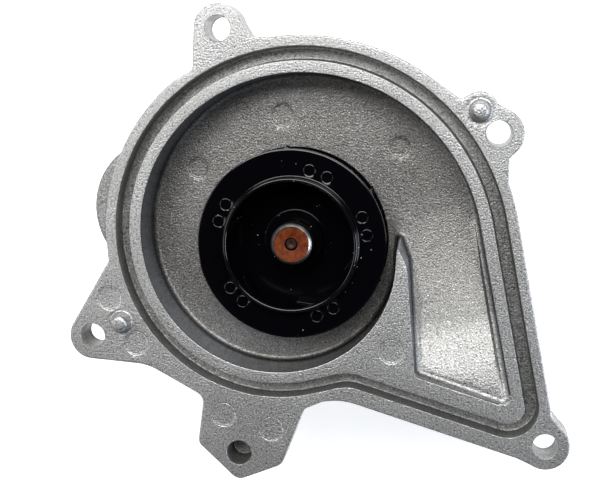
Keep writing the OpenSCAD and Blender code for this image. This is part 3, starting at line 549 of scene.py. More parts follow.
class Mix:
    """A material's node tree, with short calls to add and join nodes."""

    def __init__(self, name):
        self.material = bpy.data.materials.new(name)
        self.material.use_nodes = True
        self.nodes = self.material.node_tree.nodes
        self.links = self.material.node_tree.links
        self.shader = self.nodes["Principled BSDF"]
        self.place = self.nodes.new("ShaderNodeTexCoord").outputs["Object"]

    def set(self, **values):
        for key, value in values.items():
            socket = self.shader.inputs[key.replace("_", " ")]
            socket.default_value = value
        return self

    def noise(self, scale, detail=2.0, rough=0.5, stretch=None):
        n = self.nodes.new("ShaderNodeTexNoise")
        n.inputs["Scale"].default_value = scale
        n.inputs["Detail"].default_value = detail
        n.inputs["Roughness"].default_value = rough
        if stretch:
            m = self.nodes.new("ShaderNodeMapping")
            m.inputs["Scale"].default_value = stretch
            self.links.new(self.place, m.inputs["Vector"])
            self.links.new(m.outputs["Vector"], n.inputs["Vector"])
        else:
            self.links.new(self.place, n.inputs["Vector"])
        return n.outputs["Fac"]

    def cells(self, scale, feature="F1"):
        n = self.nodes.new("ShaderNodeTexVoronoi")
        n.feature = feature
        n.inputs["Scale"].default_value = scale
        self.links.new(self.place, n.inputs["Vector"])
        return n.outputs["Distance"]

    def bands(self, direction, scale, distortion):
        n = self.nodes.new("ShaderNodeTexWave")
        n.bands_direction = direction
        n.inputs["Scale"].default_value = scale
        n.inputs["Distortion"].default_value = distortion
        self.links.new(self.place, n.inputs["Vector"])
        return n.outputs["Fac"]

    def axes(self):
        """The place's three coordinates, in metres."""
        split = self.nodes.new("ShaderNodeSeparateXYZ")
        self.links.new(self.place, split.inputs["Vector"])
        return split.outputs["X"], split.outputs["Y"], split.outputs["Z"]

    def recess(self, reach, deep):
        """Painted shade from ambient occlusion: a tone that falls from 1 in the open to deep in grooves and
        pockets.
        """
        n = self.nodes.new("ShaderNodeAmbientOcclusion")
        n.samples = 8
        n.inputs["Distance"].default_value = reach * MM
        return self.ramp(n.outputs["AO"], [(0.15, deep), (0.85, 1.0)])

    def ramp(self, fac, stops):
        n = self.nodes.new("ShaderNodeValToRGB")
        els = n.color_ramp.elements
        while len(els) < len(stops):
            els.new(0.5)
        for e, (at, colour) in zip(els, stops):
            e.position = at
            e.color = (*colour, 1) if len(np.shape(colour)) else (colour, colour, colour, 1)
        self.links.new(fac, n.inputs["Fac"])
        return n.outputs["Color"]

    def blend(self, fac, a, b, kind="MIX"):
        n = self.nodes.new("ShaderNodeMix")
        n.data_type = "RGBA"
        n.blend_type = kind
        for socket, value in ((n.inputs["Factor"], fac), (n.inputs[6], a), (n.inputs[7], b)):
            if isinstance(value, bpy.types.NodeSocket):
                self.links.new(value, socket)
            elif isinstance(value, (int, float)) and socket.type == "RGBA":
                socket.default_value = (value, value, value, 1)
            elif isinstance(value, (tuple, list)):
                socket.default_value = (*value, 1)
            else:
                socket.default_value = value
        return n.outputs[2]

    def math(self, op, a, b=0.0):
        n = self.nodes.new("ShaderNodeMath")
        n.operation = op
        for socket, value in zip(n.inputs, (a, b)):
            if isinstance(value, bpy.types.NodeSocket):
                self.links.new(value, socket)
            else:
                socket.default_value = value
        return n.outputs[0]

    def bump(self, layers):
        """Layers of (height, strength, depth in millimetres), one on the next."""
        normal = None
        for height, strength, depth in layers:
            n = self.nodes.new("ShaderNodeBump")
            n.inputs["Strength"].default_value = strength
            n.inputs["Distance"].default_value = depth * MM
            self.links.new(height, n.inputs["Height"])
            if normal:
                self.links.new(normal, n.inputs["Normal"])
            normal = n.outputs["Normal"]
        self.links.new(normal, self.shader.inputs["Normal"])

    def to(self, socket, value):
        self.links.new(value, self.shader.inputs[socket])

    def roughness(self, texture, gain, base):
        self.to("Roughness", self.math("ADD", self.math("MULTIPLY", texture, gain), base))


def two_tones(colour, tint):
    """Ramp stops a little darker and a little lighter than a colour."""
    low = tuple(c * (1 - tint) for c in colour)
    high = tuple(min(c * (1 + tint), 1) for c in colour)
    return [(0.3, low), (0.7, high)]


def shaded_cast_wall():
    """Drafted wall inside the volute, dragged smooth by the die, with faint upright streaks; its darker
    blue-grey tone and its darkening in recesses are painted shade.
    """
    m = Mix("shaded_cast_wall").set(Metallic=0.9)
    streak = m.noise(420, 3, 0.6, stretch=(1, 1, 0.15))
    grain = m.noise(1900, 2, 0.6)
    # Painted shade: a darker blue-grey than the flange's aluminium.
    colour = m.ramp(streak, [(0.3, (0.26, 0.285, 0.32)), (0.7, (0.36, 0.385, 0.42))])
    shade = m.ramp(grain, [(0.3, 0.7), (0.7, 1.2)])
    colour = m.blend(1.0, colour, shade, "MULTIPLY")
    # Painted shade from ambient occlusion, down to black deep in the volute.
    m.to("Base Color", m.blend(1.0, colour, m.recess(16, 0.0), "MULTIPLY"))
    m.roughness(streak, 0.15, 0.16)
    m.bump([(streak, 0.15, 0.1), (grain, 0.15, 0.06)])
    return m.material


def cast_aluminium():
    """Shot-blasted die casting: fine grains, dark pores and bright sparkles over soft mottling, with painted
    shade that darkens it deeper below the flange and in grooves and recesses.
    """
    m = Mix("cast_aluminium").set(Metallic=0.9)
    grain = m.noise(2300, 2, 0.6)
    mottle = m.noise(45, 3, 0.5)
    pores = m.noise(1500, 1, 0.5)
    sparkle = m.noise(2900, 1, 0.5)
    base = m.ramp(mottle, [(0.3, (0.46, 0.455, 0.445)), (0.7, (0.56, 0.56, 0.555))])
    # Painted shade: the colour darkens the deeper a face lies below the flange, down to the volute's floor.
    deepest = 0.016
    height = m.math("MULTIPLY", m.math("ADD", m.axes()[2], deepest), 1 / deepest)
    depth_shade = m.ramp(height, [
        (0.03, 1.0), (0.12, (0.50, 0.485, 0.47)), (0.22, (0.49, 0.475, 0.46)), (0.55, (0.38, 0.38, 0.37)),
        (0.66, (0.66, 0.66, 0.65)), (0.86, (0.66, 0.66, 0.655)), (0.96, 1.0),
    ])
    base = m.blend(1.0, base, depth_shade, "MULTIPLY")
    shade = m.ramp(grain, [(0.28, 0.40), (0.5, 0.92), (0.7, 1.3)])
    colour = m.blend(1.0, base, shade, "MULTIPLY")
    dark = m.ramp(pores, [(0.30, 1.0), (0.38, 0.0)])
    colour = m.blend(m.math("MULTIPLY", dark, 0.7), colour, (0.10, 0.10, 0.105))
    bright = m.ramp(sparkle, [(0.66, 0.0), (0.72, 1.0)])
    colour = m.blend(m.math("MULTIPLY", bright, 0.6), colour, (0.86, 0.86, 0.85))
    # Painted shade in grooves and recesses, from ambient occlusion.
    m.to("Base Color", m.blend(1.0, colour, m.recess(4, 0.9), "MULTIPLY"))
    m.roughness(grain, 0.25, 0.30)
    m.bump([(m.noise(120, 2, 0.5), 0.12, 0.3), (grain, 0.8, 0.16), (sparkle, 0.5, 0.1)])
    return m.material


def impeller_black(name="impeller_black", rough=0.07, ior=1.5):
    """Glossy black moulding with specks of dust and faint smears."""
    m = Mix(name).set(IOR=ior)
    dots = m.ramp(m.cells(650), [(0.07, 1.0), (0.12, 0.0)])
    where = m.ramp(m.noise(90, 2), [(0.55, 0.0), (0.66, 1.0)])
    smear = m.ramp(m.noise(160, 4, 0.6), [(0.45, 0.0), (0.8, 1.0)])
    amount = m.math("MULTIPLY", dots, where)
    m.to("Base Color", m.blend(amount, (0.0012, 0.0012, 0.002), (0.5, 0.5, 0.52)))
    m.roughness(smear, 0.1, m.math("ADD", rough, m.math("MULTIPLY", amount, 0.5)))
    m.bump([(m.noise(70, 2), 0.05, 0.2), (m.noise(1500, 2), 0.02, 0.03)])
    return m.material


def rusted_face():
    """Flash rust on the end of a turned bush: mottled orange, with a ragged dark edge."""
    m = Mix("rusted_face").set(Metallic=0.0, Specular_IOR_Level=0.2)
    patch = m.noise(700, 4, 0.65)
    fine = m.noise(3200, 2, 0.6)
    colour = m.ramp(patch, [
        (0.3, (0.06, 0.009, 0.0008)), (0.5, (0.125, 0.021, 0.002)), (0.75, (0.22, 0.05, 0.008)),
    ])
    speck = m.ramp(fine, [(0.30, 1.0), (0.42, 0.0)])
    colour = m.blend(m.math("MULTIPLY", speck, 0.75), colour, (0.02, 0.006, 0.003))
    x, y, _ = m.axes()
    radius = m.math("SQRT", m.math("ADD", m.math("MULTIPLY", x, x), m.math("MULTIPLY", y, y)))
    side = m.math("MULTIPLY", m.math("SUBTRACT", y, x), 0.07)
    ragged = m.math("ADD", m.math("ADD", radius, side), m.math("MULTIPLY", m.noise(1400, 3, 0.7), 0.0016))
    edge = m.ramp(m.math("MULTIPLY", ragged, 100), [(0.53, 0.0), (0.55, 1.0)])
    m.to("Base Color", m.blend(m.math("MULTIPLY", edge, 0.85), colour, (0.012, 0.012, 0.014)))
    m.roughness(patch, 0.3, 0.55)
    m.bump([(patch, 0.5, 0.1), (fine, 0.5, 0.06)])
    return m.material


def turned_steel(name="turned_steel", tone=0.62, rough=0.22):
    """Bright steel with rings left by turning or grinding."""
    m = Mix(name).set(Metallic=1.0)
    rings = m.noise(900, 2, 0.5, stretch=(0.3, 0.3, 4))
    m.to("Base Color", m.ramp(rings, [(0.3, tone * 0.8), (0.7, tone * 1.1)]))
    m.roughness(m.noise(400, 2), 0.18, rough - 0.08)
    m.bump([(rings, 0.12, 0.03)])
    return m.material


def shaft_steel():
    """Brown-tinged steel of the shaft's end."""
    m = Mix("shaft_steel").set(Metallic=0.8)
    tint = m.noise(900, 3, 0.6)
    m.to("Base Color", m.ramp(tint, [(0.3, (0.022, 0.010, 0.008)), (0.7, (0.06, 0.028, 0.022))]))
    m.roughness(tint, 0.3, 0.3)
    m.bump([(tint, 0.3, 0.04)])
    return m.material


def moulded(name, colour, rough=0.45, grain=1200, depth=0.03, tint=0.25):
    """Moulded plastic or rubber with a faint grain and uneven tone."""
    m = Mix(name)
    tone = m.noise(60, 3)
    m.to("Base Color", m.ramp(tone, two_tones(colour, tint)))
    m.roughness(m.noise(300, 2), 0.2, rough - 0.1)
    m.bump([(m.noise(grain, 2), 0.4, depth)])
    return m.material


def metal(name, colour, rough=0.3, scale=300, depth=0.02, tint=0.2):
    """Plain metal with uneven tone and roughness."""
    m = Mix(name).set(Metallic=1.0)
    tone = m.noise(scale, 3, 0.6)
    m.to("Base Color", m.ramp(tone, two_tones(colour, tint)))
    m.roughness(tone, 0.25, rough - 0.12)
    m.bump([(m.noise(scale * 5, 2), 0.3, depth)])
    return m.material


def laminations():
    """Stack of thin stamped sheets: fine bands along the shaft."""
    m = Mix("laminations").set(Metallic=0.9)
    sheets = m.bands("Z", 630, 0.4)
    m.to("Base Color", m.ramp(sheets, [(0.1, (0.10, 0.10, 0.11)), (0.5, (0.32, 0.33, 0.35))]))
    m.roughness(m.noise(500, 2), 0.2, 0.35)
    m.bump([(sheets, 0.6, 0.08)])
    return m.material


def windings():
    """Enamelled copper wire laid side by side."""
    m = Mix("windings").set(Metallic=0.85, Coat_Weight=0.5, Coat_Roughness=0.15)
    wires = m.bands("DIAGONAL", 520, 1.2)
    m.to("Base Color", m.ramp(wires, [(0.1, (0.20, 0.055, 0.02)), (0.6, (0.62, 0.24, 0.10))]))
    m.roughness(m.noise(400, 2), 0.2, 0.2)
    m.bump([(wires, 0.8, 0.15)])
    return m.material


def board_green():
    """Solder-resist lacquer over faint copper tracks."""
    m = Mix("board_green").set(Coat_Weight=0.4, Coat_Roughness=0.2)
    tracks = m.cells(220, "DISTANCE_TO_EDGE")
    lines = m.ramp(tracks, [(0.05, 1.0), (0.09, 0.0)])
    m.to("Base Color", m.blend(m.math("MULTIPLY", lines, 0.6), (0.012, 0.12, 0.045), (0.03, 0.24, 0.08)))
    m.roughness(m.noise(300, 2), 0.2, 0.3)
    m.bump([(tracks, 0.2, 0.05)])
    return m.material


ALUMINIUM = cast_aluminium()
SHADED_WALL = shaded_cast_wall()
BLACK = impeller_black()
BLACK_INNER = impeller_black("impeller_black_inner", 0.14, 1.22)
RUST = rusted_face()
BUSH_SIDE = metal("bush_side", (0.035, 0.022, 0.017), 0.5, 600, 0.04)
BRIGHT_STEEL = turned_steel()
CHAMFER_STEEL = turned_steel("chamfer_steel", 0.75, 0.3)
BEARING_STEEL = turned_steel("bearing_steel", 0.75, 0.14)
SHAFT_END = shaft_steel()
ZINC = metal("zinc_screws", (0.55, 0.56, 0.58), 0.32)
SPRING = metal("spring_steel", (0.12, 0.125, 0.13), 0.4)
MAGNET = metal("magnet", (0.12, 0.12, 0.125), 0.5, 800, 0.04)
FERRITE = moulded("ferrite", (0.07, 0.065, 0.06), 0.6, 1500, 0.06)
CONTACTS = metal("plated_contacts", (0.72, 0.60, 0.34), 0.25)
CAGE = moulded("cage_plastic", (0.30, 0.16, 0.05), 0.5)
INSULATOR = moulded("insulator_plastic", (0.62, 0.57, 0.46), 0.5)
CHIP = moulded("chip_plastic", (0.02, 0.02, 0.022), 0.5, 2500, 0.02)
CAN = moulded("capacitor_sleeve", (0.03, 0.05, 0.12), 0.3)
CONNECTOR = moulded("connector_plastic", (0.016, 0.016, 0.018), 0.45, 900, 0.03)
BLUE_RUBBER = moulded("blue_rubber", (0.03, 0.11, 0.30), 0.6)
BLACK_RUBBER = moulded("black_rubber", (0.014, 0.014, 0.014), 0.65)
LAMINATIONS = laminations()
WINDINGS = windings()
BOARD = board_green()

CAD_LOOKS = {
    "shaft_seal_case": BRIGHT_STEEL,
    "shaft_seal_lip": BLACK_RUBBER,
    "front_bearing_circlip": SPRING,
    "wave_washer": SPRING,
    "rotor_core": LAMINATIONS,
    "rotor_magnets": MAGNET,
    "stator_core": LAMINATIONS,
    "front_insulator": INSULATOR,
    "rear_insulator": INSULATOR,
    "stator_windings": WINDINGS,
    "phase_pins": CONTACTS,
    "circuit_board": BOARD,
    "hall_sensors": CHIP,
    "power_transistors": CHIP,
    "control_chip": CHIP,
    "capacitors": CAN,
    "filter_choke": FERRITE,
    "board_screws": ZINC,
    "connector_pins": CONTACTS,
    "connector_seal": BLUE_RUBBER,
    "connector_screws": ZINC,
    "cover_gasket": BLACK_RUBBER,
}
for side in ("front", "rear"):
    CAD_LOOKS[f"{side}_bearing_outer_ring"] = BEARING_STEEL
    CAD_LOOKS[f"{side}_bearing_inner_ring"] = BEARING_STEEL
    CAD_LOOKS[f"{side}_bearing_balls"] = BEARING_STEEL
    CAD_LOOKS[f"{side}_bearing_cage"] = CAGE
    CAD_LOOKS[f"{side}_bearing_shields"] = BRIGHT_STEEL


def dress(node, material):
    """Give a CAD node that stays as it is a material of its own."""
    obj = frame["nodes"][node]
    obj.data.materials.clear()
    obj.data.materials.append(material)


for cad_node, look in CAD_LOOKS.items():
    dress(cad_node, look)


# ------------------------------------------------------------------ housing


def mark_levels(c, r, face_z=0.0, dip=0.09, low=0.12):
    """Ring left by an ejector pin, with its disc a little below the face around it."""
    steps = ((0.28, 0.0), (0.12, -dip), (-0.05, -low), (-0.2, 0.03), (-0.45, -0.03))
    return circles(c, [(r + dr, face_z + dz) for dr, dz in steps], 40)


def housing_front(skin):
    """Flange, seal groove, volute and outlet, closed below by the shell's underside."""
    flange = flange_outline()
    groove_out = duct_outline(LAND_W + GROOVE_W, GROOVE_LOWER_D + GROOVE_W)
    groove_in = duct_outline(LAND_W, GROOVE_LOWER_D)
    cavity = cavity_outline(TONGUE_TIP)
    cavity_low = cavity_outline(TONGUE_FOOT)
    shell = shell_outline(WALL_T)

    top, side_foot = skin.stack(round_down(flange, 0, 0.45) + round_up(flange, -FLANGE_T, 0.5))
    # Seal groove, from its outer top edge round to its inner one
    groove_r = 0.55
    out_levels = [(grow(groove_out, 0.2), 0.0), (grow(groove_out, 0.06), -0.06), (groove_out, -0.2)]
    out_levels += bowl_foot(grow(groove_out, -0.12), GROOVE_Z, groove_r)
    in_levels = [(grow(groove_in, -0.2), 0.0), (grow(groove_in, -0.06), -0.06), (groove_in, -0.2)]
    for a in (0, 22.5, 45, 67.5, 90):
        outline = grow(groove_in, 0.12 + groove_r * (1 - math.cos(rad(a))))
        in_levels.append((outline, GROOVE_Z + groove_r * (1 - math.sin(rad(a)))))
    groove_top_out, groove_floor_out = skin.stack(out_levels)
    groove_top_in, groove_floor_in = skin.stack(in_levels)
    skin.fill([groove_floor_out, groove_floor_in])

    # Fixing holes: four go through the flange and one is blind
    holes, hole_feet = [], []
    for c in (TOP_HOLE, RIGHT_HOLE, LEFT_HOLE, CORNER_HOLE):
        a, b = skin.stack(circles(c, [
            (HOLE_R + 0.14, 0.0), (HOLE_R, -0.14), (HOLE_R - 0.3, -FLANGE_T + 0.2), (HOLE_R - 0.1, -FLANGE_T),
        ]))
        holes.append(a)
        hole_feet.append(b)
    a, b = skin.stack(circles(BLIND_HOLE, [
        (HOLE_R + 0.14, 0.0), (HOLE_R, -0.14), (HOLE_R - 0.2, BLIND_Z + 0.9), (HOLE_R - 0.4, BLIND_Z + 0.25),
        (HOLE_R - 1, BLIND_Z + 0.1),
    ]))
    holes.append(a)
    skin.fill([b])

    # Pegs, each with a shallow ring round its foot
    for c in PEGS:
        a, b = skin.stack(circles(c, [
            (3.5, 0.0), (3.3, -0.07), (3.0, -0.07), (2.75, 0.02), (2.55, 0.25), (2.12, PEG_H - 0.75),
            (1.95, PEG_H - 0.38), (1.6, PEG_H - 0.13), (1.1, PEG_H - 0.02), (0.5, PEG_H),
        ]))
        holes.append(a)
        skin.fill([b])

    # The last flange mark lies inside the seal groove, so the inner land holds it
    marks = []
    for c in FLANGE_MARKS:
        a, b = skin.stack(mark_levels(c, FLANGE_MARK_R))
        marks.append(a)
        skin.fill([b])
    skin.fill([top, groove_top_out] + holes + marks[:-1])

    # Volute and outlet: rounded top edge, drafted wall, foot fillet and floor
    edge = [(grow(cavity, 0.3), 0.0), (grow(cavity, 0.09), -0.09), (cavity, -0.3)]
    foot_r = 1.2
    draft = 0.25
    wall = []
    for i in range(7):
        a = rad(90 * i / 6)
        loop = grow(cavity_low, -draft - foot_r * (1 - math.cos(a)))
        wall.append((loop, np.minimum(floor_z(loop) + foot_r * (1 - math.sin(a)), -0.35)))
    cavity_top, floor_rim = skin.stack(edge + wall)
    skin.fill([groove_top_in, cavity_top, marks[-1]])

    floor_loops = [floor_rim]
    for x, y, r in FLOOR_MARKS:
        a, b = skin.stack(mark_levels((x, y), r, FLOOR_Z, 0.08, 0.1))
        floor_loops.append(a)
        skin.fill([b])
    bore = [(SEAL_R + 0.4, FLOOR_Z), (SEAL_R, FLOOR_Z - 0.4), (SEAL_R, SHELL_Z)]
    bore_top, bore_foot = skin.stack(circles(SHAFT_C, bore, 96))
    floor_loops.append(bore_top)
    extra = spread(skin.plan(floor_loops), (-50, -50), (62, 52), 1.6, 0.7)
    skin.fill(floor_loops, floor_z, extra)

    # Below the flange: root fillet, shell wall and underside, which follows the outlet's floor
    def underside(points):
        return np.minimum(floor_z(points, margin=WALL_T + 0.6) - FLOOR_T, -FLANGE_T - 0.35)

    low = underside(shell)
    shell_root, shell_foot = skin.stack([
        (grow(shell, 0.8), -FLANGE_T),
        (grow(shell, 0.23), -FLANGE_T - 0.12),
        (shell, -FLANGE_T - 0.3),
        (shell, np.minimum(low + 0.6, -FLANGE_T - 0.3)),
        (grow(shell, -0.2), low + 0.18),
        (grow(shell, -0.6), low),
    ])
    skin.fill([side_foot, shell_root] + hole_feet)
    extra = spread(skin.plan([shell_foot, bore_foot]), (-55, -55), (65, 55), 3, 1.5)
    skin.fill([shell_foot, bore_foot], underside, extra)


# Rear outlines as distances to rounded shapes, joined with small fillets


def away_disc(p, c, r):
    return np.linalg.norm(p - c, axis=-1) - r


def away_box(p, low, high, r):
    centre, half = (np.array(low) + high) / 2, (np.array(high) - low) / 2 - r
    q = np.abs(p - centre) - half
    return np.linalg.norm(np.maximum(q, 0), axis=-1) + np.minimum(q.max(-1), 0) - r


def away_link(p, c, r1, r2):
    """Two discs, one round the shaft and one round c, with the straight sides between them."""
    d = np.linalg.norm(c)
    u = c / d
    x, y = p @ u, np.abs(p @ np.array([-u[1], u[0]]))
    slope = (r1 - r2) / d
    a = math.sqrt(1 - slope * slope)
    k = x * a - y * slope
    flank = x * slope + y * a - r1
    return np.where(k < 0, np.hypot(x, y) - r1, np.where(k > a * d, np.hypot(x - d, y) - r2, flank))


SCREWS = [polar(TRAY_R + EAR_OUT, a) for a in TRAY_SCREWS]
SCREWS += [BOSS_C + polar(BOSS_R + EAR_OUT, a) for a in BOSS_SCREWS]
SCREWS.append(np.array([BAY[0] - EAR_OUT, BAY[1] + 12]))


def away_tray(p):
    flat = away_link(p, BOSS_C, TRAY_R, BOSS_R)
    return smooth_min(flat, away_box(p, BAY[:2], BAY[2:], 1.5), 1.2)


def away_ears(p):
    d = away_tray(p)
    for c in SCREWS:
        d = smooth_min(d, away_disc(p, c, EAR_R), 1.6)
    return d


def away_top(p):
    return smooth_min(away_disc(p, np.zeros(2), TUBE_R), away_disc(p, BOSS_C, BOSS_R), 2.0)


def away_upper(p):
    return smooth_min(away_top(p), away_box(p, BAY[:2], BAY[2:], 1.5), 1.5)


REAR_C = np.array([-10.0, 1.0])


def contour(away, level=0.0, n=720, reach=75.0):
    """Outline where the distance equals level, found along rays from the outside in."""
    a = np.arange(n) * 2 * math.pi / n
    rays = np.stack([np.cos(a), np.sin(a)], 1)
    r = np.full(n, reach)
    for _ in range(60):
        r = np.maximum(r - (away(REAR_C + rays * r[:, None]) - level) * 0.85, 2)
    return REAR_C + rays * r[:, None]


def contours(*levels):
    """Levels for a stack, each from the distance, how far outside it, and z."""
    return [(contour(away, off), z) for away, off, z in levels]


def housing_rear(skin):
    """Tray, motor tube, side boss and connector bay, open at the back."""
    ledge_z = TRAY_Z + TRAY_WALL
    inner_edge = (away_tray, -TRAY_WALL + 0.25, RIM_Z)
    outer = contours(
        inner_edge,
        (away_ears, -0.3, RIM_Z), (away_ears, -0.09, RIM_Z + 0.09), (away_ears, 0, RIM_Z + 0.3),
        (away_ears, 0, EAR_TOP_Z - 0.7), (away_ears, -0.2, EAR_TOP_Z - 0.2), (away_ears, -0.7, EAR_TOP_Z),
        (away_tray, 0.3, EAR_TOP_Z), (away_tray, 0.08, EAR_TOP_Z + 0.08), (away_tray, 0, EAR_TOP_Z + 0.3),
        (away_tray, 0, ledge_z - 0.7), (away_tray, -0.2, ledge_z - 0.2), (away_tray, -0.7, ledge_z),
        (away_upper, 0.9, ledge_z), (away_upper, 0.26, ledge_z + 0.26), (away_upper, 0, ledge_z + 0.9),
        (away_upper, 0, BAY_TOP_Z - 0.8), (away_upper, -0.25, BAY_TOP_Z - 0.25),
        (away_upper, -0.8, BAY_TOP_Z),
        (away_top, -0.4, BAY_TOP_Z + 0.02), (away_top, 0, BAY_TOP_Z + 0.5), (away_top, 0, SHELL_Z + 0.9),
    )
    skin.fill([skin.stack(outer)[1]])
    inner = contours(
        inner_edge,
        (away_tray, -TRAY_WALL, RIM_Z + 0.25), (away_tray, -TRAY_WALL, TRAY_Z),
        (away_upper, -TRAY_WALL, TRAY_Z + 0.01), (away_upper, -TRAY_WALL, SHELL_Z - TRAY_WALL),
    )
    skin.fill([skin.stack(inner)[1]])
    # Motor tube inside the pocket, and the seat of the front bearing
    tube_top = SHELL_Z - 2
    skin.lathe([(BORE_R, TRAY_Z), (TUBE_R, TRAY_Z), (TUBE_R, tube_top), (BORE_R, tube_top)], n=180)
    seat_z, seat_top, web_z = -24.3, -17.3, -15.8
    skin.lathe([(8, seat_z), (11, seat_z), (11, SHELL_Z + 0.5), (6, SHELL_Z + 0.5),
                (6, web_z), (4, web_z), (4, seat_top), (8, seat_top)])


def boss_crescent(skin, inner_off, top_z, edge_r):
    """Part of the side boss that stands outside the volute by inner_off, up to its face at top_z."""
    rim = circle(BOSS_C, BOSS_R, 360)
    rel = rim - SPIRAL_C
    ang = np.degrees(np.arctan2(rel[:, 1], rel[:, 0])) % 360
    out = np.linalg.norm(rel, axis=1) > spiral_r(ang) + inner_off
    start = int(np.argmax(out & ~np.roll(out, 1)))
    rim, out = np.roll(rim, -start, 0), np.roll(out, -start)
    rim = rim[: int(out.sum())]
    a0 = math.degrees(math.atan2(*(rim[-1] - SPIRAL_C)[::-1])) % 360
    a1 = math.degrees(math.atan2(*(rim[0] - SPIRAL_C)[::-1])) % 360
    plan = clean(list(rim) + spiral_run(a0, a1, inner_off, 3)[1:-1])
    top, foot = skin.stack(round_down(plan, top_z, edge_r, 5) + [(plan, SHELL_Z - 0.4)])
    skin.fill([top])
    skin.fill([foot])


casting = Skin()
housing_front(casting)
housing_rear(casting)
boss_crescent(casting, LAND_W + GROOVE_W + RIM_W - 1, BOSS_Z, 0.9)
boss_crescent(casting, WALL_T * 0.5, -FLANGE_T + 0.2, 0.05)
housing = casting.piece("housing_casting", "housing", ALUMINIUM, ["volute_housing"])
# Steep faces deep inside the volute take the darker wall material, which is painted shade.
housing.data.materials.append(SHADED_WALL)
wall_faces = [f for f in housing.data.polygons if abs(f.normal.z) < 0.6 and f.center.z > FLOOR_Z * MM]
spots = np.array([[f.center.x / MM, f.center.y / MM] for f in wall_faces])
in_cavity = inside(spots, [grow(cavity_outline(TONGUE_TIP), 0.2)])
for face, within, depth in zip(wall_faces, in_cavity, floor_z(spots)):
    face.material_index = int(within and depth < -7)


# ------------------------------------------------------------------ impeller and bush

IMPELLER_R = 24
EYE_R = 16
LIP_T = 1.0
LIP_H = 2.6
SHROUD_T = 1.4
SHROUD_Z = node_z("impeller_shroud")[1] - LIP_H
PLATE_Z = node_z("impeller_backplate")[0]
PLATE_T = 1.6
BUSH_Z = node_z("hub_bush")[1]
HUB_R = 7.4
BUSH_R = 5.3
HUB_Z = BUSH_Z - 5.6
BLADES = 6
BLADE_START_R = 15
BLADE_ANGLE = 23
BLADE_T = 1.2
BLADE_FIRST_A = 35
SHROUD_MARKS = (15, 69, 156, 223, 297)
MARK_SPREAD = 7
MARK_RING_R = 19.3
MARK_R = 1.45


def shroud():
    """Flat ring with a rounded lip round the eye and small moulded rings in pairs."""
    skin = Skin()
    z = SHROUD_Z
    low = z - SHROUD_T
    lip_r = EYE_R + LIP_T
    round_r = LIP_T / 2
    root_r = 0.4
    rim = [(IMPELLER_R - 0.45, z), (IMPELLER_R - 0.13, z - 0.13), (IMPELLER_R, z - 0.45),
           (IMPELLER_R, low + 0.2), (IMPELLER_R - 0.2, low)]
    inner = [(IMPELLER_R - 0.9, low), (EYE_R + 2.2, low), (EYE_R + 0.9, low + 0.25),
             (EYE_R + 0.25, low + 0.9), (EYE_R, low + 2)]
    lip = [(EYE_R + round_r + round_r * math.cos(rad(a)), z + LIP_H - round_r + round_r * math.sin(rad(a)))
           for a in range(180, -1, -20)]
    root = [(lip_r + root_r - root_r * math.cos(rad(a)), z + root_r - root_r * math.sin(rad(a)))
            for a in (0, 30, 60, 90)]
    loops = list(skin.lathe(rim + inner + lip + root, n=192, closed=False))
    for centre_a in SHROUD_MARKS:
        for half in (-MARK_SPREAD, MARK_SPREAD):
            c = polar(MARK_RING_R, centre_a + half)
            ring, disc = skin.stack(circles(c, [
                (MARK_R + 0.1, z), (MARK_R, z - 0.06), (MARK_R - 0.12, z - 0.01), (MARK_R - 0.25, z - 0.03),
            ], 28))
            loops.append(ring)
            skin.fill([disc])
    skin.fill(loops)
    return skin.piece("shroud", "rotor", BLACK, ["impeller_shroud"])


def blade_outline():
    """Blade that starts at angle 0 and keeps one angle to the tangent, thinner at its nose."""
    end_r = IMPELLER_R - 0.5
    sweep = math.degrees(math.log(end_r / BLADE_START_R) / math.tan(rad(BLADE_ANGLE)))
    sides = [[], []]
    steps = 28
    for i in range(steps + 1):
        t = i / steps
        r = BLADE_START_R * (end_r / BLADE_START_R) ** t
        a = sweep * t
        half = BLADE_T / 2 * min(1.0, 0.45 + 1.4 * math.sqrt(t))
        for k, side in enumerate((1, -1)):
            sides[k].append(polar(r, a) + side * half * polar(1, a + 180 - BLADE_ANGLE))
    nose = polar(BLADE_START_R - 0.25, 0)
    return clean(sides[0] + sides[1][::-1] + [nose])


def backplate():
    """Disc with its hub and the blades that stand on it."""
    skin = Skin()
    top = PLATE_Z + PLATE_T
    high = SHROUD_Z - SHROUD_T + 0.3
    skin.lathe([
        (BUSH_R, PLATE_Z), (IMPELLER_R - 0.3, PLATE_Z), (IMPELLER_R, PLATE_Z + 0.3), (IMPELLER_R, top - 0.3),
        (IMPELLER_R - 0.3, top), (HUB_R + 0.8, top), (HUB_R + 0.25, top + 0.25), (HUB_R, top + 0.8),
        (HUB_R, HUB_Z - 0.1), (HUB_R - 0.1, HUB_Z), (BUSH_R + 0.35, HUB_Z), (BUSH_R, HUB_Z - 0.3),
    ], n=160)
    outline = blade_outline()
    for i in range(BLADES):
        a = rad(BLADE_FIRST_A + i * 360 / BLADES)
        turn = np.array([[math.cos(a), math.sin(a)], [-math.sin(a), math.cos(a)]])
        plan = outline @ turn
        up, down = skin.stack([
            (grow(plan, -0.2), high), (grow(plan, -0.06), high - 0.06), (plan, high - 0.2),
            (plan, top + 0.4), (grow(plan, 0.12), top + 0.12), (grow(plan, 0.35), top - 0.1),
        ])
        skin.fill([up])
        skin.fill([down])
    return skin.piece("backplate", "rotor", BLACK_INNER, ["impeller_backplate"])


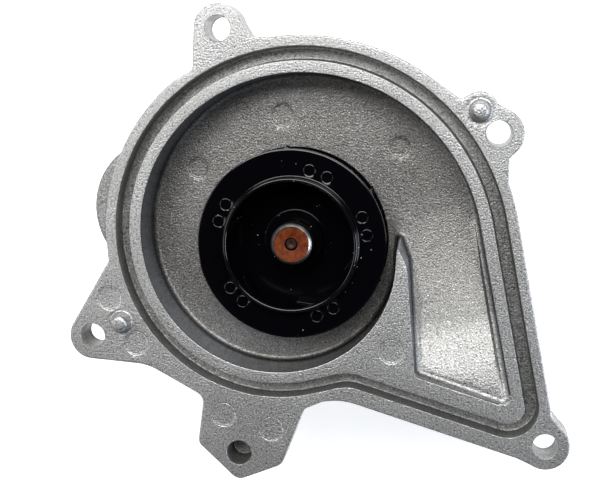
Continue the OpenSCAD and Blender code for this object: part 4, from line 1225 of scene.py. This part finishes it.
def bush():
    """Turned bush with a bright chamfer, a rusted face and dark sides."""
    low = node_z("hub_bush")[0]
    skin = Skin()
    skin.lathe([
        (1.52, low), (BUSH_R, low), (BUSH_R, BUSH_Z - 0.75), (BUSH_R - 0.12, BUSH_Z - 0.6),
        (BUSH_R - 0.62, BUSH_Z - 0.12), (BUSH_R - 0.76, BUSH_Z - 0.02), (BUSH_R - 0.84, BUSH_Z - 0.05),
        (1.7, BUSH_Z - 0.05), (1.52, BUSH_Z - 0.22),
    ])
    obj = skin.piece("bush", "rotor", CHAMFER_STEEL, ["hub_bush"], smooth=50)
    obj.data.materials.append(RUST)
    obj.data.materials.append(BUSH_SIDE)
    for poly in obj.data.polygons:
        c = poly.center / MM
        r = math.hypot(c.x, c.y)
        if poly.normal.z > 0.7 and c.z > BUSH_Z - 0.07 and r < BUSH_R - 0.7:
            poly.material_index = 1
        elif abs(poly.normal.z) < 0.4 or r < 1.75:
            poly.material_index = 2
    return obj


def shaft():
    """Nose with a centre hole, and the thicker shaft behind the bush."""
    low, high = node_z("motor_shaft")
    step = node_z("hub_bush")[0]
    skin = Skin()
    top, foot = skin.stack(circles(SHAFT_C, [
        (0.35, high - 0.12), (0.5, high), (1.2, high), (1.42, high - 0.2), (1.46, high - 0.5),
        (1.46, step), (2.35, step), (2.5, step - 0.15), (2.5, low + 0.4), (2.1, low),
    ]))
    skin.fill([top])
    skin.fill([foot])
    return skin.piece("shaft", "rotor", SHAFT_END, ["motor_shaft"])


shroud()
backplate()
bush()
shaft()


# ------------------------------------------------------------------ rear cover, its screws and vent


PAN_IN = 3.4
VENT_SEAT_R = 5.5
BEARING_CUP_R = 8
BEARING_CUP_WALL = 2.6
BEARING_CUP_Z = -38.5
BEARING_CUP_H = 5.4


def cover():
    """Flat edge with ears, raised pan with the vent's seat, and inside it the rear bearing's cup."""
    skin = Skin()
    top, rim = skin.stack(contours(
        (away_ears, -0.3, COVER_Z), (away_ears, 0, COVER_Z - 0.3), (away_ears, 0, EDGE_Z + 0.5),
        (away_ears, -0.15, EDGE_Z + 0.15), (away_ears, -0.5, EDGE_Z),
        (away_tray, -PAN_IN + 0.9, EDGE_Z), (away_tray, -PAN_IN + 0.3, EDGE_Z - 0.25),
        (away_tray, -PAN_IN, EDGE_Z - 0.9), (away_tray, -PAN_IN - 0.15, PAN_Z + 1.2),
        (away_tray, -PAN_IN - 0.5, PAN_Z + 0.35), (away_tray, -PAN_IN - 1.35, PAN_Z),
    ))
    seat = [(VENT_SEAT_R + 0.4, PAN_Z), (VENT_SEAT_R + 0.1, PAN_Z + 0.3), (VENT_SEAT_R, PAN_Z + 1.4)]
    vent_rim, vent_foot = skin.stack(circles(BOSS_C, seat, 72))
    skin.fill([rim, vent_rim])
    skin.fill([vent_foot])
    inner = contour(away_tray, -PAN_IN - COVER_WALL)
    lip, floor = skin.stack([(inner, COVER_Z), (inner, PAN_Z + COVER_WALL)])
    skin.fill([top, lip])
    cup_top, cup_foot = skin.stack(circles(SHAFT_C, [
        (BEARING_CUP_R, BEARING_CUP_Z - BEARING_CUP_H), (BEARING_CUP_R, BEARING_CUP_Z),
        (BEARING_CUP_R + BEARING_CUP_WALL, BEARING_CUP_Z),
        (BEARING_CUP_R + BEARING_CUP_WALL, PAN_Z + COVER_WALL),
    ], 96))
    skin.fill([floor, cup_foot])
    skin.fill([cup_top])
    return skin.piece("cover", "housing", ALUMINIUM, ["rear_cover"])


def star(c, r0, r1, n=72, lobes=6):
    """Outline that waves between r0 and r1."""
    a = np.arange(n) * 2 * math.pi / n
    r = (r0 + r1) / 2 + (r1 - r0) / 2 * np.cos(lobes * a)
    return np.stack([c[0] + r * np.cos(a), c[1] + r * np.sin(a)], 1)


def cover_screws():
    """Pan-head screws with six-lobe recesses, heads towards -Z."""
    skin = Skin()
    z = EDGE_Z
    for c in SCREWS:
        outside = [(1.5, z + 9.4), (1.5, z), (2.8, z), (2.8, z - 1.1), (2.55, z - 1.62), (2.05, z - 1.92)]
        wall = star(c, 0.95, 1.35)
        drive = [(star(c, 1.02, 1.42), z - 2.0), (wall, z - 1.9), (wall, z - 0.8)]
        shank, recess = skin.stack(circles(c, outside, 72) + drive)
        skin.fill([recess])
        skin.fill([shank])
    return skin.piece("screws", "housing", ZINC, ["cover_screws"])


def vent():
    """Breather plug: a low cap with slots round its edge."""
    skin = Skin()
    z = PAN_Z
    slots = star(BOSS_C, 4.2, 4.5, 72, 12)
    top, cap = skin.stack(
        circles(BOSS_C, [(2.5, z + 3.3), (2.5, z + 1.4), (4.5, z + 1.4)], 72)
        + [(slots, z + 1.1), (slots, z + 0.7)]
        + circles(BOSS_C, [(4.3, z + 0.35), (3.9, z + 0.2), (1.9, z + 0.2), (1.7, z + 0.4)], 72)
    )
    skin.fill([top])
    skin.fill([cap])
    return skin.piece("vent", "housing", CONNECTOR, ["vent_plug"])


cover()
cover_screws()
vent()


# ------------------------------------------------------------------ connector


def side_box(c, w, h, r, n=8):
    """Rounded rectangle outline."""
    out = []
    for sx, sy, a in ((1, 1, 0), (-1, 1, 90), (-1, -1, 180), (1, -1, 270)):
        out += arc((c[0] + sx * (w / 2 - r), c[1] + sy * (h / 2 - r)), r, a, a + 90, n)
    return clean(out, 0.01)


def connector():
    """Socket on the bay's wall: built along Z, then stood up so that it opens towards -Y."""
    low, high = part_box("connector_body")
    skin = Skin()
    c = ((low.x + high.x) / 2 / MM, MOUNTS["connector_socket"]["pos_m"][2] / MM)
    y_mouth, y_back = low.y / MM, high.y / MM
    flange_y = BAY[1] - 3
    outer_w, outer_h = 18.2, 13.2

    def lv(w, h, r, y):
        """Level of a rounded rectangle, w by h, at y."""
        return side_box(c, w, h, r), -y

    back, inner = skin.stack([
        lv(15.4, 10, 1, y_back), lv(15.4, 10, 1, flange_y + 2),
        lv(20.6, 20, 2, flange_y + 2), lv(20.6, 20, 2, flange_y + 0.4), lv(19.8, 19.2, 1.6, flange_y),
        lv(outer_w + 0.8, outer_h + 0.8, 2.6, flange_y), lv(outer_w, outer_h, 2.4, flange_y - 0.4),
        lv(outer_w, outer_h, 2.4, y_mouth + 0.4), lv(outer_w - 0.5, outer_h - 0.5, 2.2, y_mouth),
        lv(15.5, 10.5, 1.4, y_mouth), lv(15, 10, 1.2, y_mouth + 0.4), lv(15, 10, 1.2, flange_y + 0.2),
    ])
    skin.fill([back])
    skin.fill([inner])
    skin.points = [(x, -z, y) for x, y, z in skin.points]
    return skin.piece("connector", "housing", CONNECTOR, ["connector_body"])


connector()


# ------------------------------------------------------------------ stage, light and camera


def stage_floor():
    """Pale ground just below the object, bright enough to show white."""
    mesh = bpy.data.meshes.new("floor")
    s = 3.0
    z = cad_box[0][2] - 0.0002
    mesh.from_pydata([(-s, -s, z), (s, -s, z), (s, s, z), (-s, s, z)], [], [(0, 1, 2, 3)])
    obj = bpy.data.objects.new("floor", mesh)
    scene.collection.objects.link(obj)
    m = Mix("floor").set(Roughness=0.9)
    pale = m.ramp(m.noise(8, 2), [(0.3, 0.93), (0.7, 0.96)])
    m.to("Base Color", pale)
    m.to("Emission Color", pale)
    m.set(Emission_Strength=0.6)
    mesh.materials.append(m.material)


def softbox(name, place, size, power, colour=(1, 1, 1)):
    """Rectangular light aimed at the origin."""
    light = bpy.data.lights.new(name, "AREA")
    light.shape = "RECTANGLE"
    light.size, light.size_y = size
    light.energy = power
    light.color = colour
    obj = bpy.data.objects.new(name, light)
    obj.location = Vector(place)
    obj.rotation_euler = (Vector() - Vector(place)).to_track_quat("-Z", "Y").to_euler()
    scene.collection.objects.link(obj)


def studio():
    """Dark above the object, bright round it and bluish low down, with a softbox towards the view's top."""
    world = bpy.data.worlds.new("studio")
    scene.world = world
    world.use_nodes = True
    nodes, links = world.node_tree.nodes, world.node_tree.links
    coord = nodes.new("ShaderNodeTexCoord")
    split = nodes.new("ShaderNodeSeparateXYZ")
    ramp = nodes.new("ShaderNodeValToRGB")
    links.new(coord.outputs["Generated"], split.inputs["Vector"])
    links.new(split.outputs["Z"], ramp.inputs["Fac"])
    links.new(ramp.outputs["Color"], nodes["Background"].inputs["Color"])
    stops = [
        (0.0, (0.16, 0.19, 0.25)), (0.3, (0.30, 0.33, 0.38)), (0.7, (0.50, 0.50, 0.50)),
        (0.87, (0.22, 0.22, 0.22)), (0.95, (0.02, 0.02, 0.02)),
    ]
    els = ramp.color_ramp.elements
    while len(els) < len(stops):
        els.new(0.5)
    for e, (at, colour) in zip(els, stops):
        e.position = at
        e.color = (*colour, 1)
    nodes["Background"].inputs["Strength"].default_value = 0.28
    softbox("top_box", (-0.02, 0.46, 0.69), (0.9, 0.46), 9.5)
    softbox("left_fill", (-0.6, 0.0, 0.5), (0.4, 0.5), 1.2)
    softbox("right_fill", (0.6, -0.1, 0.3), (0.3, 0.3), 2.0, (0.8, 0.88, 1.0))


def camera():
    """Seen from a little to the upper right of the shaft axis."""
    place = Vector((0.0415, 0.0428, 0.2851))
    right = Vector((0.99157, 0.0, -0.12954))
    up = Vector((-0.01978, 0.98827, -0.15141))
    back = right.cross(up)
    cam = bpy.data.cameras.new("camera")
    cam.sensor_width = 36
    cam.lens = 68.3
    cam.clip_start = 0.01
    obj = bpy.data.objects.new("camera", cam)
    obj.matrix_world = Matrix.Translation(place) @ Matrix((right, up, back)).transposed().to_4x4()
    scene.collection.objects.link(obj)
    scene.camera = obj


stage_floor()
studio()
camera()
scene.view_settings.view_transform = "Standard"
scene.view_settings.look = "None"
